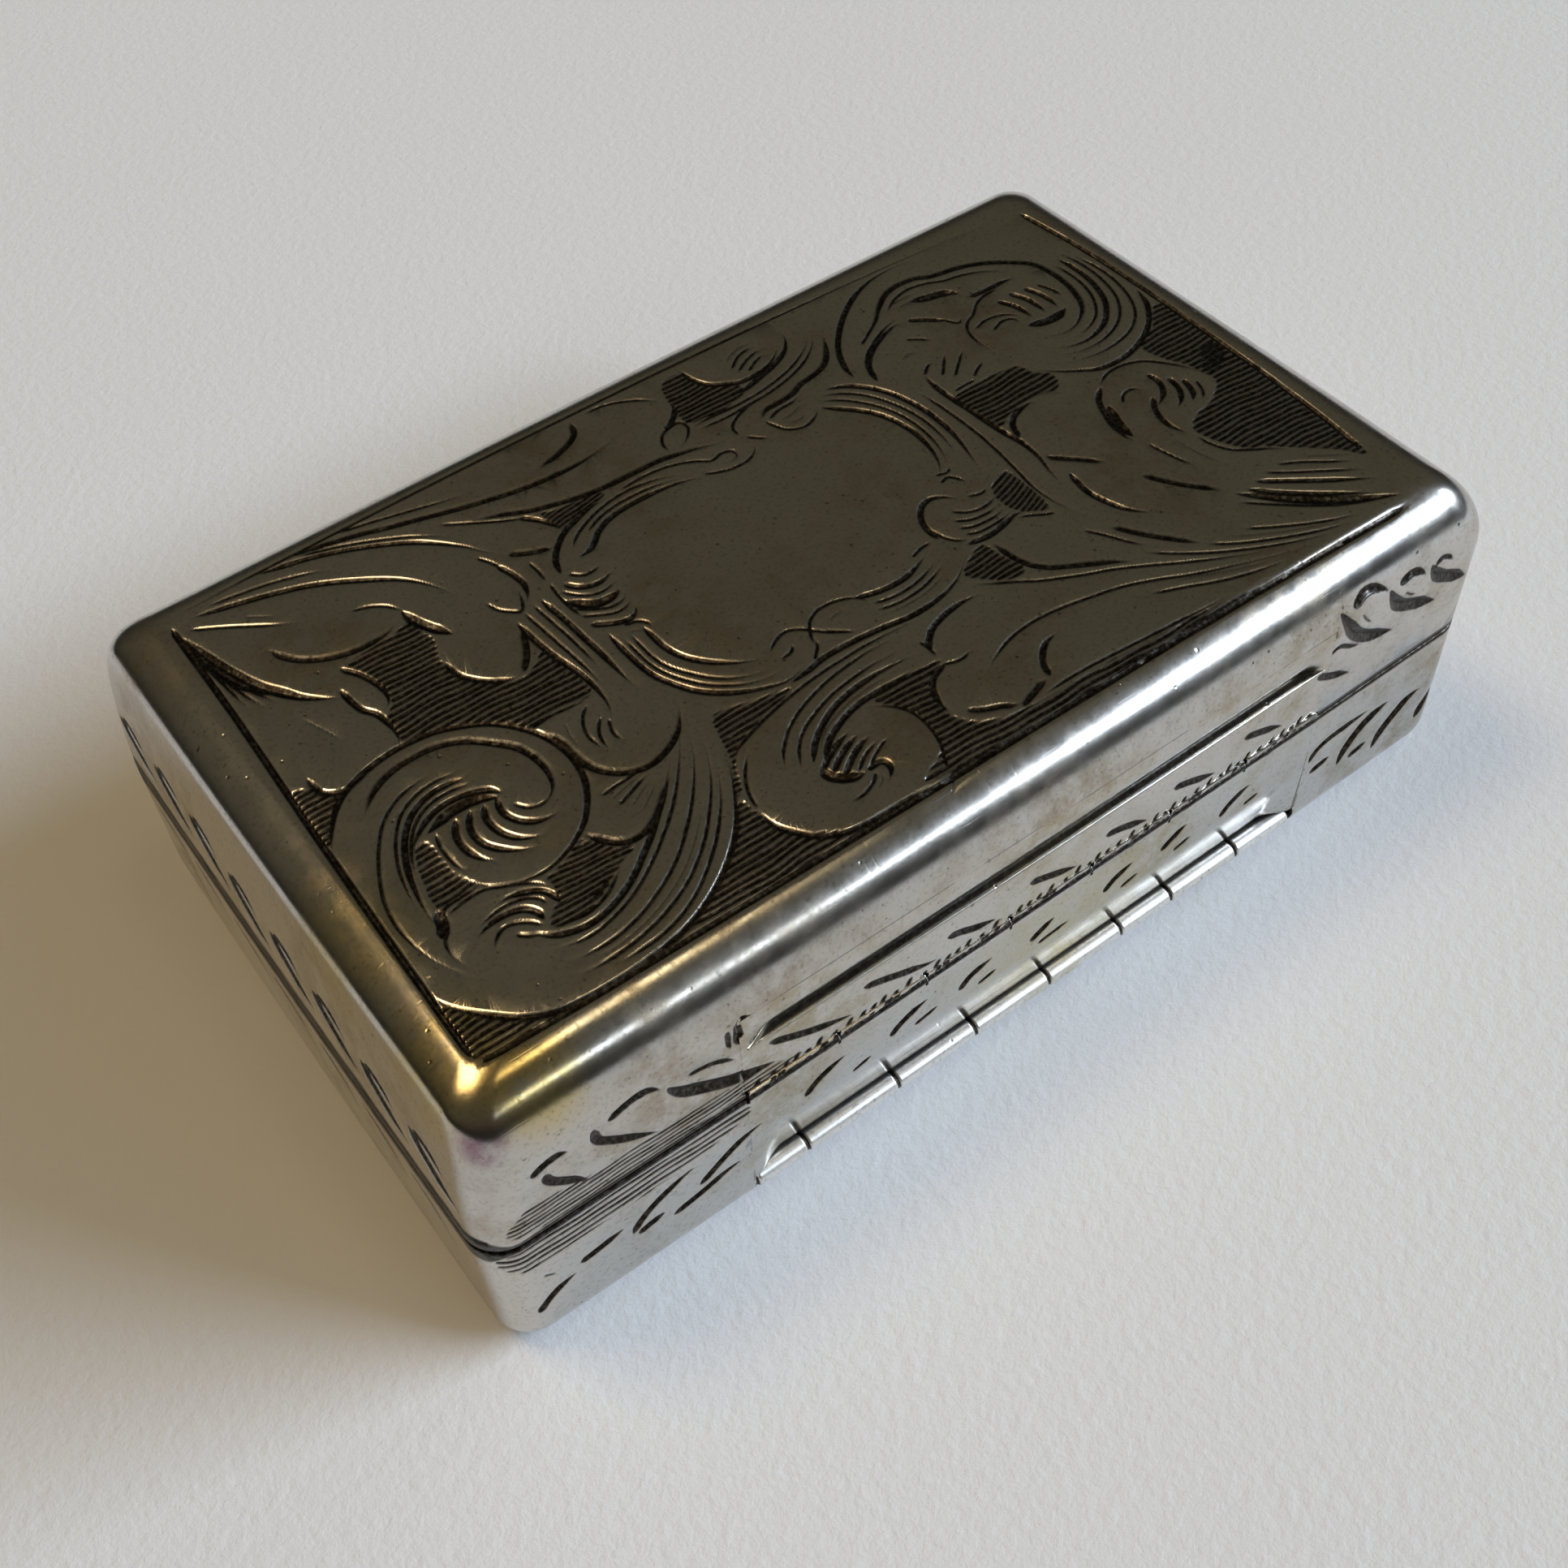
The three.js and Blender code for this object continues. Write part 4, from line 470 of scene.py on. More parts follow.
GROUND = [
    ([(-15.0, -2.75), (-14.6, -2.8), (-14.52, -4.2), (-14.25, -4.9), (-15.45, -4.92), (-15.4, -4.0), (-15.2, -3.2)], 0.25, 2),
    ([(-16.95, -7.7), (-16.3, -8.55), (-15.6, -9.15), (-14.9, -9.6), (-16.95, -9.7)], 0.25, 0),
    ([(-10.6, -9.65), (-9.2, -9.0), (-8.2, -8.3), (-7.5, -7.6), (-6.95, -6.8), (-6.75, -7.3), (-6.65, -8.1), (-6.3, -8.7), (-5.4, -9.65)], 0.25, 0),
    ([(-6.9, -6.6), (-6.3, -5.5), (-6.05, -4.6), (-5.7, -3.7), (-4.6, -3.9), (-3.3, -4.25), (-4.4, -4.6), (-5.5, -5.0), (-6.2, -5.6), (-6.6, -6.5)], 0.24, 0),
    ([(-12.6, -5.8), (-12.0, -5.65), (-11.2, -5.25), (-10.95, -5.5), (-10.5, -6.1), (-10.1, -6.35), (-10.8, -6.7), (-11.6, -7.2), (-12.5, -7.55), (-13.3, -7.35), (-13.1, -6.9), (-12.7, -6.6), (-12.6, -6.1)], 0.22, -2),
    ([(-13.3, 4.7), (-12.6, 4.85), (-11.5, 5.0), (-10.95, 5.2), (-10.85, 4.6), (-10.7, 4.0), (-10.95, 3.2), (-10.9, 2.3), (-10.5, 1.65), (-9.9, 1.2), (-9.3, 1.0), (-8.7, 1.3), (-8.35, 1.6), (-8.15, 0.6), (-8.05, -0.8), (-9.2, -0.75), (-10.2, -0.85), (-10.7, -0.4), (-11.5, 0.3), (-12.2, 0.62), (-13.3, 0.85), (-13.4, 1.3), (-13.3, 2.1), (-12.95, 2.5), (-12.85, 3.3), (-13.0, 4.1)], 0.27, 1),
    ([(-16.95, 1.0), (-16.35, 1.0), (-16.2, 0.6), (-15.8, 0.3), (-16.3, -0.2), (-16.9, -1.2)], 0.25, 0),
    ([(-5.3, 6.85), (-4.8, 6.68), (-3.2, 6.48), (-3.3, 6.22), (-4.4, 6.0), (-5.1, 5.75), (-5.2, 6.2)], 0.2, 12),
    ([(-1.6, -5.95), (0.7, -5.98), (0.7, -6.2), (0.2, -6.5), (-0.1, -6.9), (-0.28, -7.5), (-0.2, -8.05), (0.4, -8.7), (1.7, -9.02), (4.0, -9.05), (7.0, -9.2), (9.5, -9.4), (11.5, -9.62), (-1.5, -9.62), (-1.2, -8.7), (-1.03, -8.0), (-1.0, -7.3), (-1.3, -6.7)], 0.27, -1),
    ([(3.6, -3.7), (4.2, -3.2), (4.9, -3.0), (5.06, -3.8), (5.25, -4.6), (4.7, -4.75), (4.1, -4.35)], 0.24, 0),
    ([(0.95, 8.9), (1.3, 9.8), (2.05, 9.9), (2.15, 9.2), (2.5, 8.7), (3.2, 8.3), (3.3, 7.75), (2.5, 7.4), (1.5, 7.42), (0.85, 7.6)], 0.25, 0),
    ([(8.7, 3.1), (11.1, 3.1), (11.5, 2.45), (11.95, 1.95), (11.6, 1.3), (10.6, 1.4), (9.5, 1.25), (8.85, 1.0), (8.72, 2.2)], 0.27, 1),
    ([(15.2, 1.25), (16.2, 1.75), (17.3, 2.6), (17.38, -0.4), (16.1, -1.4), (15.75, -0.5), (15.4, 0.2)], 0.27, -1),
    ([(16.1, -0.8), (17.36, -0.3), (17.3, -6.9), (16.5, -6.5), (15.6, -5.7), (14.9, -5.1), (14.3, -4.7), (13.85, -3.9), (13.65, -3.1), (14.1, -2.6), (15.1, -2.3), (15.9, -1.7)], 0.27, -2),
    ([(6.7, -1.2), (7.6, -0.8), (7.7, -2.0), (7.6, -3.0), (7.0, -2.75), (6.6, -2.2)], 0.22, 20),
]

panel = Field(-18.2, 18.2, -10.8, 10.8, 0.03)
for poly, pitch, angle in GROUND:
    panel.hatch(poly, pitch * 0.85, angle)
for kind, pts in PANEL:
    panel.cut(pts, **WEIGHT[kind])


# cuts on a wall, as (along, height), read from left to right from outside
def comma(a, z, k=1.0):
    """One leaf: a long cut that swells and thins, and a small arch over it."""
    main = [(0.0, 0.0), (0.12, -0.5), (0.5, -1.0), (1.0, -1.45), (1.7, -1.9)]
    arch = [(0.4, 0.05), (0.85, 0.28), (1.3, 0.25), (1.75, -0.1)]
    place = lambda pts: [(a + k * u, z + k * v) for u, v in pts]
    return [("h", place(main)), ("m", place(arch))]


FRONT = [
    ("h", [(-17.65, 9.22), (-17.3, 9.42), (-16.9, 9.48), (-16.45, 9.32)]),
    ("h", [(-17.3, 8.95), (-17.1, 8.5), (-16.7, 8.1), (-16.3, 7.75), (-15.85, 7.25)]),
    ("h", [(-15.25, 9.55), (-14.8, 9.75), (-14.3, 9.84), (-13.9, 9.72), (-13.5, 9.38)]),
    ("h", [(-15.75, 9.6), (-15.6, 9.0), (-15.2, 8.6), (-14.7, 8.2), (-14.2, 7.85), (-13.5, 7.42)]),
    ("g", [(-13.4, 9.35), (-13.1, 8.95), (-12.7, 8.6), (-12.0, 8.15), (-11.2, 7.7), (-10.3, 7.4), (-9.5, 7.2)]),
    ("m", [(-12.7, 9.3), (-12.0, 9.15), (-11.5, 8.9), (-10.95, 8.45)]),
    ("m", [(-11.4, 10.1), (-11.35, 9.6), (-11.25, 9.2)]),
    ("m", [(-11.1, 10.2), (-11.1, 9.6), (-11.0, 9.1)]),
    ("g", [(-10.9, 10.35), (-10.82, 9.7), (-10.78, 9.05)]),
    ("h", [(-9.8, 8.35), (-9.0, 7.9), (-8.2, 7.5), (-7.3, 7.15), (-6.7, 6.98)]),
    ("h", [(-6.5, 8.02), (-5.8, 7.75), (-5.0, 7.4), (-4.2, 7.08), (-3.6, 6.95)]),
    ("h", [(-3.4, 7.75), (-2.9, 7.58), (-2.3, 7.28), (-1.4, 7.0)]),
    ("h", [(-0.25, 7.75), (0.4, 7.5), (1.1, 7.2), (1.8, 6.95)]),
    ("h", [(2.8, 7.6), (3.5, 7.4), (4.1, 7.15), (4.7, 6.88)]),
    ("h", [(5.6, 7.7), (6.3, 7.45), (6.9, 7.2), (7.6, 6.98)]),
    ("h", [(8.6, 7.85), (9.3, 7.6), (9.9, 7.35), (10.5, 7.1)]),
    ("h", [(11.7, 8.5), (12.2, 8.2), (12.7, 7.95), (13.5, 7.55)]),
    ("g", [(12.4, 10.85), (12.7, 10.2), (13.1, 9.6), (13.6, 9.15), (14.3, 8.75), (15.3, 8.35)]),
    ("h", [(13.0, 10.7), (13.5, 10.98), (13.9, 10.98), (14.3, 10.75), (14.65, 10.4)]),
    ("f", [(13.3, 10.3), (13.6, 9.85), (14.0, 9.45)]),
    ("g", [(14.6, 10.5), (14.8, 10.0), (15.1, 9.6), (15.6, 9.25), (16.3, 8.9), (17.3, 8.4)]),
    ("h", [(15.1, 10.45), (15.6, 10.58), (16.0, 10.45), (16.35, 10.1)]),
    ("f", [(15.3, 10.0), (15.7, 9.65), (16.1, 9.45)]),
    ("g", [(16.55, 10.4), (16.72, 10.0), (17.1, 9.6), (17.6, 9.3), (18.1, 9.0), (18.7, 8.65)]),
    ("m", [(16.75, 10.3), (17.1, 10.4), (17.4, 10.25), (17.65, 9.95)]),
    ("m", [(11.95, 9.15), (12.3, 9.35), (12.6, 9.32), (13.1, 9.0), (13.7, 8.72)]),
    ("h", [(-18.35, 2.15), (-18.0, 2.55), (-17.5, 2.88), (-16.85, 3.08)]),
    ("h", [(-16.75, 3.42), (-16.2, 3.5), (-15.7, 3.6), (-15.15, 3.72)]),
    ("h", [(-15.02, 3.05), (-14.7, 3.5), (-14.2, 3.9), (-13.6, 4.2), (-13.0, 4.42), (-12.5, 4.5)]),
    ("h", [(-14.8, 2.9), (-14.4, 3.0), (-13.85, 3.12)]),
    ("h", [(-12.65, 3.3), (-12.2, 3.6), (-11.6, 4.0), (-11.0, 4.3), (-10.1, 4.5)]),
    ("h", [(-13.65, 2.62), (-12.6, 2.85), (-11.8, 3.08), (-11.0, 3.2)]),
    ("f", [(-17.95, 4.05), (-17.45, 3.65)]),
    ("h", [(-8.72, 4.3), (-8.3, 4.7), (-7.8, 4.95), (-7.1, 5.15)]),
    ("m", [(-6.95, 3.92), (-6.2, 4.15)]),
    ("h", [(-5.52, 4.45), (-5.2, 4.75), (-4.7, 5.0), (-4.0, 5.2)]),
    ("m", [(-4.6, 4.2), (-3.6, 4.42)]),
    ("h", [(-2.85, 4.45), (-2.5, 4.8), (-2.1, 4.95), (-1.5, 5.06)]),
    ("m", [(-2.1, 4.1), (-1.3, 4.28)]),
    ("h", [(0.02, 4.52), (0.4, 4.74), (1.0, 5.0)]),
    ("m", [(0.3, 4.1), (1.7, 4.25)]),
    ("h", [(3.05, 4.48), (3.4, 4.8), (3.9, 5.0), (4.3, 5.12)]),
    ("m", [(3.8, 4.1), (4.6, 4.28)]),
    ("h", [(5.5, 4.65), (6.0, 4.95), (6.6, 5.22)]),
    ("m", [(6.1, 4.15), (6.9, 4.32)]),
    ("h", [(8.15, 4.25), (8.5, 4.6), (9.0, 4.85), (9.5, 4.98)]),
    ("m", [(9.3, 4.0), (10.0, 4.12)]),
    ("h", [(12.45, 3.75), (12.65, 4.15), (13.1, 4.38), (14.0, 4.46), (15.4, 4.5)]),
    ("h", [(12.7, 3.12), (13.6, 3.28)]),
    ("g", [(14.12, 2.4), (14.4, 3.1), (14.8, 3.6), (15.3, 3.95), (16.3, 4.22)]),
    ("h", [(14.75, 2.42), (15.6, 2.58)]),
    ("g", [(15.98, 1.9), (16.3, 2.6), (16.8, 3.1), (17.3, 3.48), (18.0, 3.68)]),
    ("g", [(18.2, 1.95), (18.5, 2.5), (18.9, 2.9), (19.3, 3.1)]),
]
FRONT_GROUND = [
    ([(-17.9, 7.9), (-15.9, 7.6), (-13.4, 7.5), (-11.0, 7.35), (-9.2, 6.95), (-9.2, 6.62), (-17.9, 6.62)], 0.2, 0),
    ([(-18.6, 5.98), (-13.0, 5.9), (-10.8, 5.85), (-10.8, 5.35), (-12.6, 4.85), (-15.5, 4.75), (-18.5, 4.85)], 0.28, -1),
]


def leaf(a, z):
    """One leaf of the end walls: a long, flat cut that thins towards its tip, and a fine arch over it."""
    main = [(0.0, 0.06), (0.22, -0.2), (0.75, -0.5), (1.55, -0.84), (2.55, -1.15)]
    arch = [(0.25, 0.12), (0.75, 0.16), (1.3, 0.0), (1.85, -0.34)]
    place = lambda pts: [(a + u, z + v) for u, v in pts]
    return [("k", place(main)), ("h", place(arch))]


LEFT = []
for i, a in enumerate([-10.6, -7.9, -5.3, -2.6, 0.2, 2.9, 5.7, 8.4]):
    LEFT += leaf(a, 8.75 + 0.06 * (i % 3))
for i, a in enumerate([-9.8, -7.0, -4.1, -1.2, 1.8, 4.6, 7.4]):
    LEFT += [("h", [(a, 5.0), (a + 0.8, 4.7), (a + 1.6, 4.25), (a + 2.2, 3.8)]),
             ("f", [(a + 0.7, 5.1), (a + 1.5, 4.85), (a + 2.1, 4.5)])]
LEFT_GROUND = [([(-10.4, 7.0), (10.4, 7.0), (10.4, 6.65), (-10.4, 6.65)], 0.2, 0)]
BACK = []
for i, a in enumerate([-17.6, -14.6, -11.6, -8.6, -5.6, 3.9, 6.9, 9.9, 12.9, 15.9]):
    BACK += comma(a, 9.9, 1.0)
for i, a in enumerate([-17.4, -14.2, -11.0, -7.8, -4.6, -1.4, 1.8, 5.0, 8.2, 11.4, 14.6]):
    BACK += [("h", [(a, 2.4), (a + 0.4, 3.1), (a + 1.0, 3.7), (a + 1.9, 4.1)]),
             ("m", [(a + 1.0, 2.6), (a + 1.9, 2.85)])]
BACK_GROUND = [([(-17.6, 7.4), (-4.2, 7.4), (-4.2, 6.65), (-17.6, 6.65)], 0.2, 0),
               ([(4.2, 7.4), (17.6, 7.4), (17.6, 6.65), (4.2, 6.65)], 0.2, 0),
               ([(-17.6, 5.9), (17.6, 5.9), (17.6, 5.2), (-17.6, 5.2)], 0.24, 0)]


def wall_field(cuts, grounds, half):
    f = Field(-half, half, 0.0, HEIGHT, 0.035)
    for poly, pitch, angle in grounds:
        f.hatch(poly, pitch, angle, d=0.06, sink=0.008, wob=0.03)
    for kind, pts in cuts:
        f.cut(pts, **WALL_WEIGHT[kind])
    return f


# small slanting teeth along the hinge line
for k, a in enumerate(np.arange(HINGE_X0 - PANEL_X + 0.3, HINGE_X1 - PANEL_X - 0.3, 0.46)):
    a = float(a + 0.1 * math.sin(7.3 * k))
    rise = 0.26 + 0.12 * math.sin(2.7 * k + 0.6)
    FRONT.append(("m", [(a, 6.55), (a + 0.08, 6.55 + 0.5 * rise), (a + 0.2, 6.6 + rise)]))

WALLS = {
    "front": wall_field(FRONT, FRONT_GROUND, 20.5),
    "left": wall_field(LEFT, LEFT_GROUND, 12.8),
    "back": wall_field(BACK, BACK_GROUND, 20.5),
    "right": wall_field(LEFT, LEFT_GROUND, 12.8),
}


# ------------------------------------------------------------------ plan outline
def columns(nx, ny):
    """Places round the outline: each of the four sides runs from the middle of one corner to the middle of the next.
    Gives the two corner signs, the share between them, the facing angle, the side and the distance along it."""
    out = []
    sides = [("front", (-1, -1), (1, -1), -90, nx, LENGTH), ("right", (1, -1), (1, 1), 0, ny, WIDTH),
             ("back", (1, 1), (-1, 1), 90, nx, LENGTH), ("left", (-1, 1), (-1, -1), 180, ny, WIDTH)]
    for name, a, b, face, n, size in sides:
        straight, arc = size - 2 * CORNER_R, CORNER_R * math.pi / 4
        for i in range(n):
            d = (straight + 2 * arc) * i / n
            if d < arc:
                f, phi, s = 0.0, face - 45 * (1 - d / arc), -straight / 2 - (arc - d)
            elif d < arc + straight:
                f, phi, s = (d - arc) / straight, face, d - arc - straight / 2
            else:
                f, phi, s = 1.0, face + 45 * (d - arc - straight) / arc, straight / 2 + (d - arc - straight)
            out.append((a[0], a[1], b[0], b[1], f, math.radians(phi), name, s))
    return out


def ring(cols, inset, radius, left=None):
    """The outline at those places, set in by `inset`, and at the left end by `left`: x, y and the outward direction."""
    left = inset if left is None else left
    hy, r = WIDTH / 2 - inset, max(radius, 0.15)
    ax, ay, bx, by, f, phi = (np.array([c[k] for c in cols], float) for k in range(6))
    half = lambda sign: LENGTH / 2 - np.where(sign < 0, left, inset)
    cx = ax * (half(ax) - r) * (1 - f) + bx * (half(bx) - r) * f
    cy = (ay + (by - ay) * f) * (hy - r)
    x, y = cx + r * np.cos(phi), cy + r * np.sin(phi)
    hx = half(x)
    x, y = x * (1 - (BOW_SHORT / hx) * (y / hy) ** 2), y * (1 - (BOW / hy) * (x / hx) ** 2)
    return x, y, np.cos(phi), np.sin(phi)


left_line = smooth(LEFT_RIM, 0.02)


def left_rim(z):
    """How far the lid's left end is set in at height z."""
    return float(np.interp(z, left_line[::-1, 1], left_line[::-1, 0]))


def sway_at(x, y, z):
    """The hand-made unevenness of the sheet, always inwards."""
    return 0.008 * (value_noise(x, y, z, 5.0, 3) - 1) + 0.001 * (value_noise(x, y, z, 1.3, 4) - 1)


def value_noise(x, y, z, scale, seed):
    """Smooth noise between -1 and 1."""
    rng = np.random.default_rng(seed)
    table = rng.uniform(-1, 1, (32, 32, 32))
    p = [np.asarray(v) / scale for v in (x, y, z)]
    i = [np.floor(v).astype(int) for v in p]
    f = [v - k for v, k in zip(p, i)]
    f = [v * v * (3 - 2 * v) for v in f]
    out = 0.0
    for a in (0, 1):
        for b in (0, 1):
            for c in (0, 1):
                w = ((f[0] if a else 1 - f[0]) * (f[1] if b else 1 - f[1]) * (f[2] if c else 1 - f[2]))
                out = out + w * table[(i[0] + a) % 32, (i[1] + b) % 32, (i[2] + c) % 32]
    return out


def make_mesh(name, verts, faces, attributes=None, smooth_all=True):
    """A mesh object from points in mm about the middle of the box's plan."""
    v = np.asarray(verts, float) + np.array([0, SHIFT_Y, 0])
    me = bpy.data.meshes.new(name)
    if isinstance(faces, np.ndarray):
        k = faces.shape[1]
        me.vertices.add(len(v))
        me.vertices.foreach_set("co", (v * 0.001).astype(np.float32).ravel())
        me.loops.add(faces.size)
        me.loops.foreach_set("vertex_index", faces.astype(np.int32).ravel())
        me.polygons.add(len(faces))
        me.polygons.foreach_set("loop_start", np.arange(0, faces.size, k, dtype=np.int32))
        me.update(calc_edges=True)
    else:
        me.from_pydata((v * 0.001).tolist(), [], faces)
        me.update(calc_edges=True)
    me.validate()
    for key, val in (attributes or {}).items():
        a = me.attributes.new(key, "FLOAT", "POINT")
        a.data.foreach_set("value", np.asarray(val, np.float32))
    if smooth_all:
        me.polygons.foreach_set("use_smooth", np.ones(len(me.polygons), bool))
    o = bpy.data.objects.new(name, me)
    bpy.context.scene.collection.objects.link(o)
    return o


def quads_to_tris(q):
    q = np.asarray(q)
    return np.vstack([q[:, [0, 1, 2]], q[:, [0, 2, 3]]])


def settle(o, tools=()):
    """Gives o the mesh that its modifiers make, and drops them and the shapes that they used."""
    dg = bpy.context.evaluated_depsgraph_get()
    me = bpy.data.meshes.new_from_object(o.evaluated_get(dg), preserve_all_data_layers=True, depsgraph=dg)
    old = o.data
    o.modifiers.clear()
    o.data = me
    bpy.data.meshes.remove(old)
    for t in tools:
        me = t.data
        bpy.data.objects.remove(t)
        bpy.data.meshes.remove(me)


def modify(o, kind, **settings):
    m = o.modifiers.new(kind.lower(), kind)
    for k, v in settings.items():
        setattr(m, k, v)


def cut_away(o, verts, faces):
    """Takes a closed shape out of o, once o is settled."""
    tool = make_mesh("tool", verts, faces, smooth_all=False)
    modify(o, "BOOLEAN", operation="DIFFERENCE", object=tool, solver="MANIFOLD")
    return tool


def prism_x(profile, x0, x1):
    """A closed prism: a profile in (y, z), anticlockwise seen from +X, run along X."""
    n = len(profile)
    v = [(x0, y, z) for y, z in profile] + [(x1, y, z) for y, z in profile]
    f = [list(range(n))[::-1], list(range(n, 2 * n))]
    f += [[i, (i + 1) % n, n + (i + 1) % n, n + i] for i in range(n)]
    return v, f


WINDOW_LID = prism_x([(FACE_Y - 2, PART_Z - 1), (FACE_Y + STRIP_DEPTH + SEAT_GAP, PART_Z - 1),
                      (FACE_Y + STRIP_DEPTH + SEAT_GAP, STRIP_TOP_Z + SEAT_GAP), (FACE_Y - 2, STRIP_TOP_Z + SEAT_GAP)],
                     HINGE_X0 - SEAT_GAP, HINGE_X1 + SEAT_GAP)
WINDOW_BASE = prism_x([(FACE_Y - 2, STRIP_FOOT_Z - SEAT_GAP), (FACE_Y + STRIP_DEPTH + SEAT_GAP, STRIP_FOOT_Z - SEAT_GAP),
                       (FACE_Y + STRIP_DEPTH + SEAT_GAP, PART_Z + 1), (FACE_Y - 2, PART_Z + 1)],
                      HINGE_X0 - SEAT_GAP, HINGE_X1 + SEAT_GAP)
RELIEF = prism_x([(FACE_Y - 0.6, PART_Z - 1.05), (FACE_Y + AXIS_IN, PART_Z), (FACE_Y - 0.6, PART_Z + 1.05)], -25, 25)


def shell(name, outer_rows, inner_rows, flat_inset, flat_radius, flat_z, nx, ny, up):
    """A drawn shell: an engraved flat, a rounded edge and walls outside; a plain inside; joined at the lip.
    outer_rows are (inset, radius, z, outward, upward, inset at the left end) from the flat to the lip."""
    in_inset, in_radius, in_z, in_left = inner_rows[-1]
    cols = columns(nx, ny)
    n = len(cols)
    side = np.array([c[6] for c in cols])
    along = np.array([c[7] for c in cols])
    verts, cutv, insidev = [], [], []

    # the flat: a grid whose rim is the columns
    bx, by, _, _ = ring(cols, flat_inset, flat_radius)
    B = np.stack([bx, by], -1)
    F = B[0:nx + 1]
    R = B[nx:nx + ny + 1]
    K = B[nx + ny:2 * nx + ny + 1][::-1]
    L = np.vstack([B[2 * nx + ny:], B[:1]])[::-1]
    u = np.linspace(0, 1, nx + 1)[None, :, None]
    v = np.linspace(0, 1, ny + 1)[:, None, None]
    P = ((1 - v) * F[None] + v * K[None] + (1 - u) * L[:, None] + u * R[:, None]
         - ((1 - u) * (1 - v) * F[0] + u * (1 - v) * F[-1] + (1 - u) * v * K[0] + u * v * K[-1]))
    P[0, :], P[-1, :], P[:, 0], P[:, -1] = F, K, L, R
    gx, gy = P[..., 0].ravel(), P[..., 1].ravel()
    sgn = 1.0 if up else -1.0
    c, s = math.cos(PANEL_TURN), math.sin(PANEL_TURN)

    def panel_depth(x, y):
        if not up:
            return np.zeros_like(x)
        x, y = x - PANEL_X, y - PANEL_Y
        return panel.at(x * c - y * s, x * s + y * c)

    d = panel_depth(gx, gy)
    sway = sway_at(gx, gy, 0 * gx + flat_z)
    verts.append(np.stack([gx, gy, flat_z - sgn * (d - sway)], -1))
    cutv.append(d)
    insidev.append(np.zeros_like(d))
    grid = np.arange((nx + 1) * (ny + 1)).reshape(ny + 1, nx + 1)
    q = np.stack([grid[:-1, :-1], grid[:-1, 1:], grid[1:, 1:], grid[1:, :-1]], -1).reshape(-1, 4)
    faces = [q if up else q[:, ::-1]]
    rim = np.concatenate([grid[0, :-1], grid[:-1, -1], grid[-1, :0:-1], grid[:0:-1, 0]])

    # the edge and walls
    prev = rim
    count = (nx + 1) * (ny + 1)
    for inset, radius, z, no, nz, left in outer_rows:
        x, y, ox, oy = ring(cols, inset, radius, left)
        d = np.zeros(n)
        if nz * sgn > 0.45:
            d = d + panel_depth(x, y)
        if abs(nz) < 0.75:
            for k, f in WALLS.items():
                m = side == k
                d[m] = np.maximum(d[m], f.at(along[m] - PANEL_X, np.full(m.sum(), z)))
        t = d - sway_at(x, y, np.full(n, z))
        verts.append(np.stack([x - t * ox * no, y - t * oy * no, z - t * nz], -1))
        cutv.append(d)
        insidev.append(np.zeros(n))
        ids = count + np.arange(n)
        count += n
        a, b = prev, np.roll(prev, -1)
        e, g = ids, np.roll(ids, -1)
        q = np.stack([b, a, e, g], -1)
        faces.append(q if up else q[:, ::-1])
        prev = ids

    # the inside, on every fourth place
    step = 4
    cc = [cols[i] for i in range(0, n, step)]
    m = len(cc)
    tri = []
    first = True
    for inset, radius, z, left in inner_rows:
        x, y, _, _ = ring(cc, inset, radius, left)
        verts.append(np.stack([x, y, np.full(m, z)], -1))
        cutv.append(np.zeros(m))
        insidev.append(np.ones(m))
        ids = count + np.arange(m)
        count += m
        if first:
            for i in range(m):
                fine = [prev[(i * step + k) % n] for k in range(step + 1)]
                a, b = ids[i], ids[(i + 1) % m]
                for k in range(step):
                    top = a if k < step // 2 else b
                    tri.append((fine[k + 1], fine[k], top))
                tri.append((fine[step // 2], a, b))
            first = False
        else:
            q = np.stack([np.roll(last, -1), last, ids, np.roll(ids, -1)], -1)
            tri += [tuple(r) for r in quads_to_tris(q).tolist()]
        last = ids
    mx, my = nx // step, ny // step
    bx, by, _, _ = ring(cc, in_inset, in_radius, in_left)
    B = np.stack([bx, by], -1)
    F = B[0:mx + 1]
    R = B[mx:mx + my + 1]
    K = B[mx + my:2 * mx + my + 1][::-1]
    L = np.vstack([B[2 * mx + my:], B[:1]])[::-1]
    gid = np.full((my + 1, mx + 1), -1)
    gid[0, :] = np.append(last[0:mx], last[mx])
    gid[:, -1] = last[mx:mx + my + 1]
    gid[-1, :] = last[mx + my:2 * mx + my + 1][::-1]
    gid[:, 0] = np.append(last[2 * mx + my:], last[0])[::-1]
    u = np.linspace(0, 1, mx + 1)[None, :, None]
    v = np.linspace(0, 1, my + 1)[:, None, None]
    P = ((1 - v) * F[None] + v * K[None] + (1 - u) * L[:, None] + u * R[:, None]
         - ((1 - u) * (1 - v) * F[0] + u * (1 - v) * F[-1] + (1 - u) * v * K[0] + u * v * K[-1]))
    inner = P[1:-1, 1:-1].reshape(-1, 2)
    gid[1:-1, 1:-1] = (count + np.arange(len(inner))).reshape(my - 1, mx - 1)
    wave = 0.02 * value_noise(inner[:, 0], inner[:, 1], 0 * inner[:, 0], 3.0, 9)
    verts.append(np.stack([inner[:, 0], inner[:, 1], in_z + sgn * wave], -1))
    cutv.append(np.zeros(len(inner)))
    insidev.append(np.ones(len(inner)))
    q = np.stack([gid[:-1, :-1], gid[1:, :-1], gid[1:, 1:], gid[:-1, 1:]], -1).reshape(-1, 4)
    t = quads_to_tris(q)
    tri = np.asarray(tri)
    if not up:
        tri = tri[:, ::-1]
        t = t[:, ::-1]
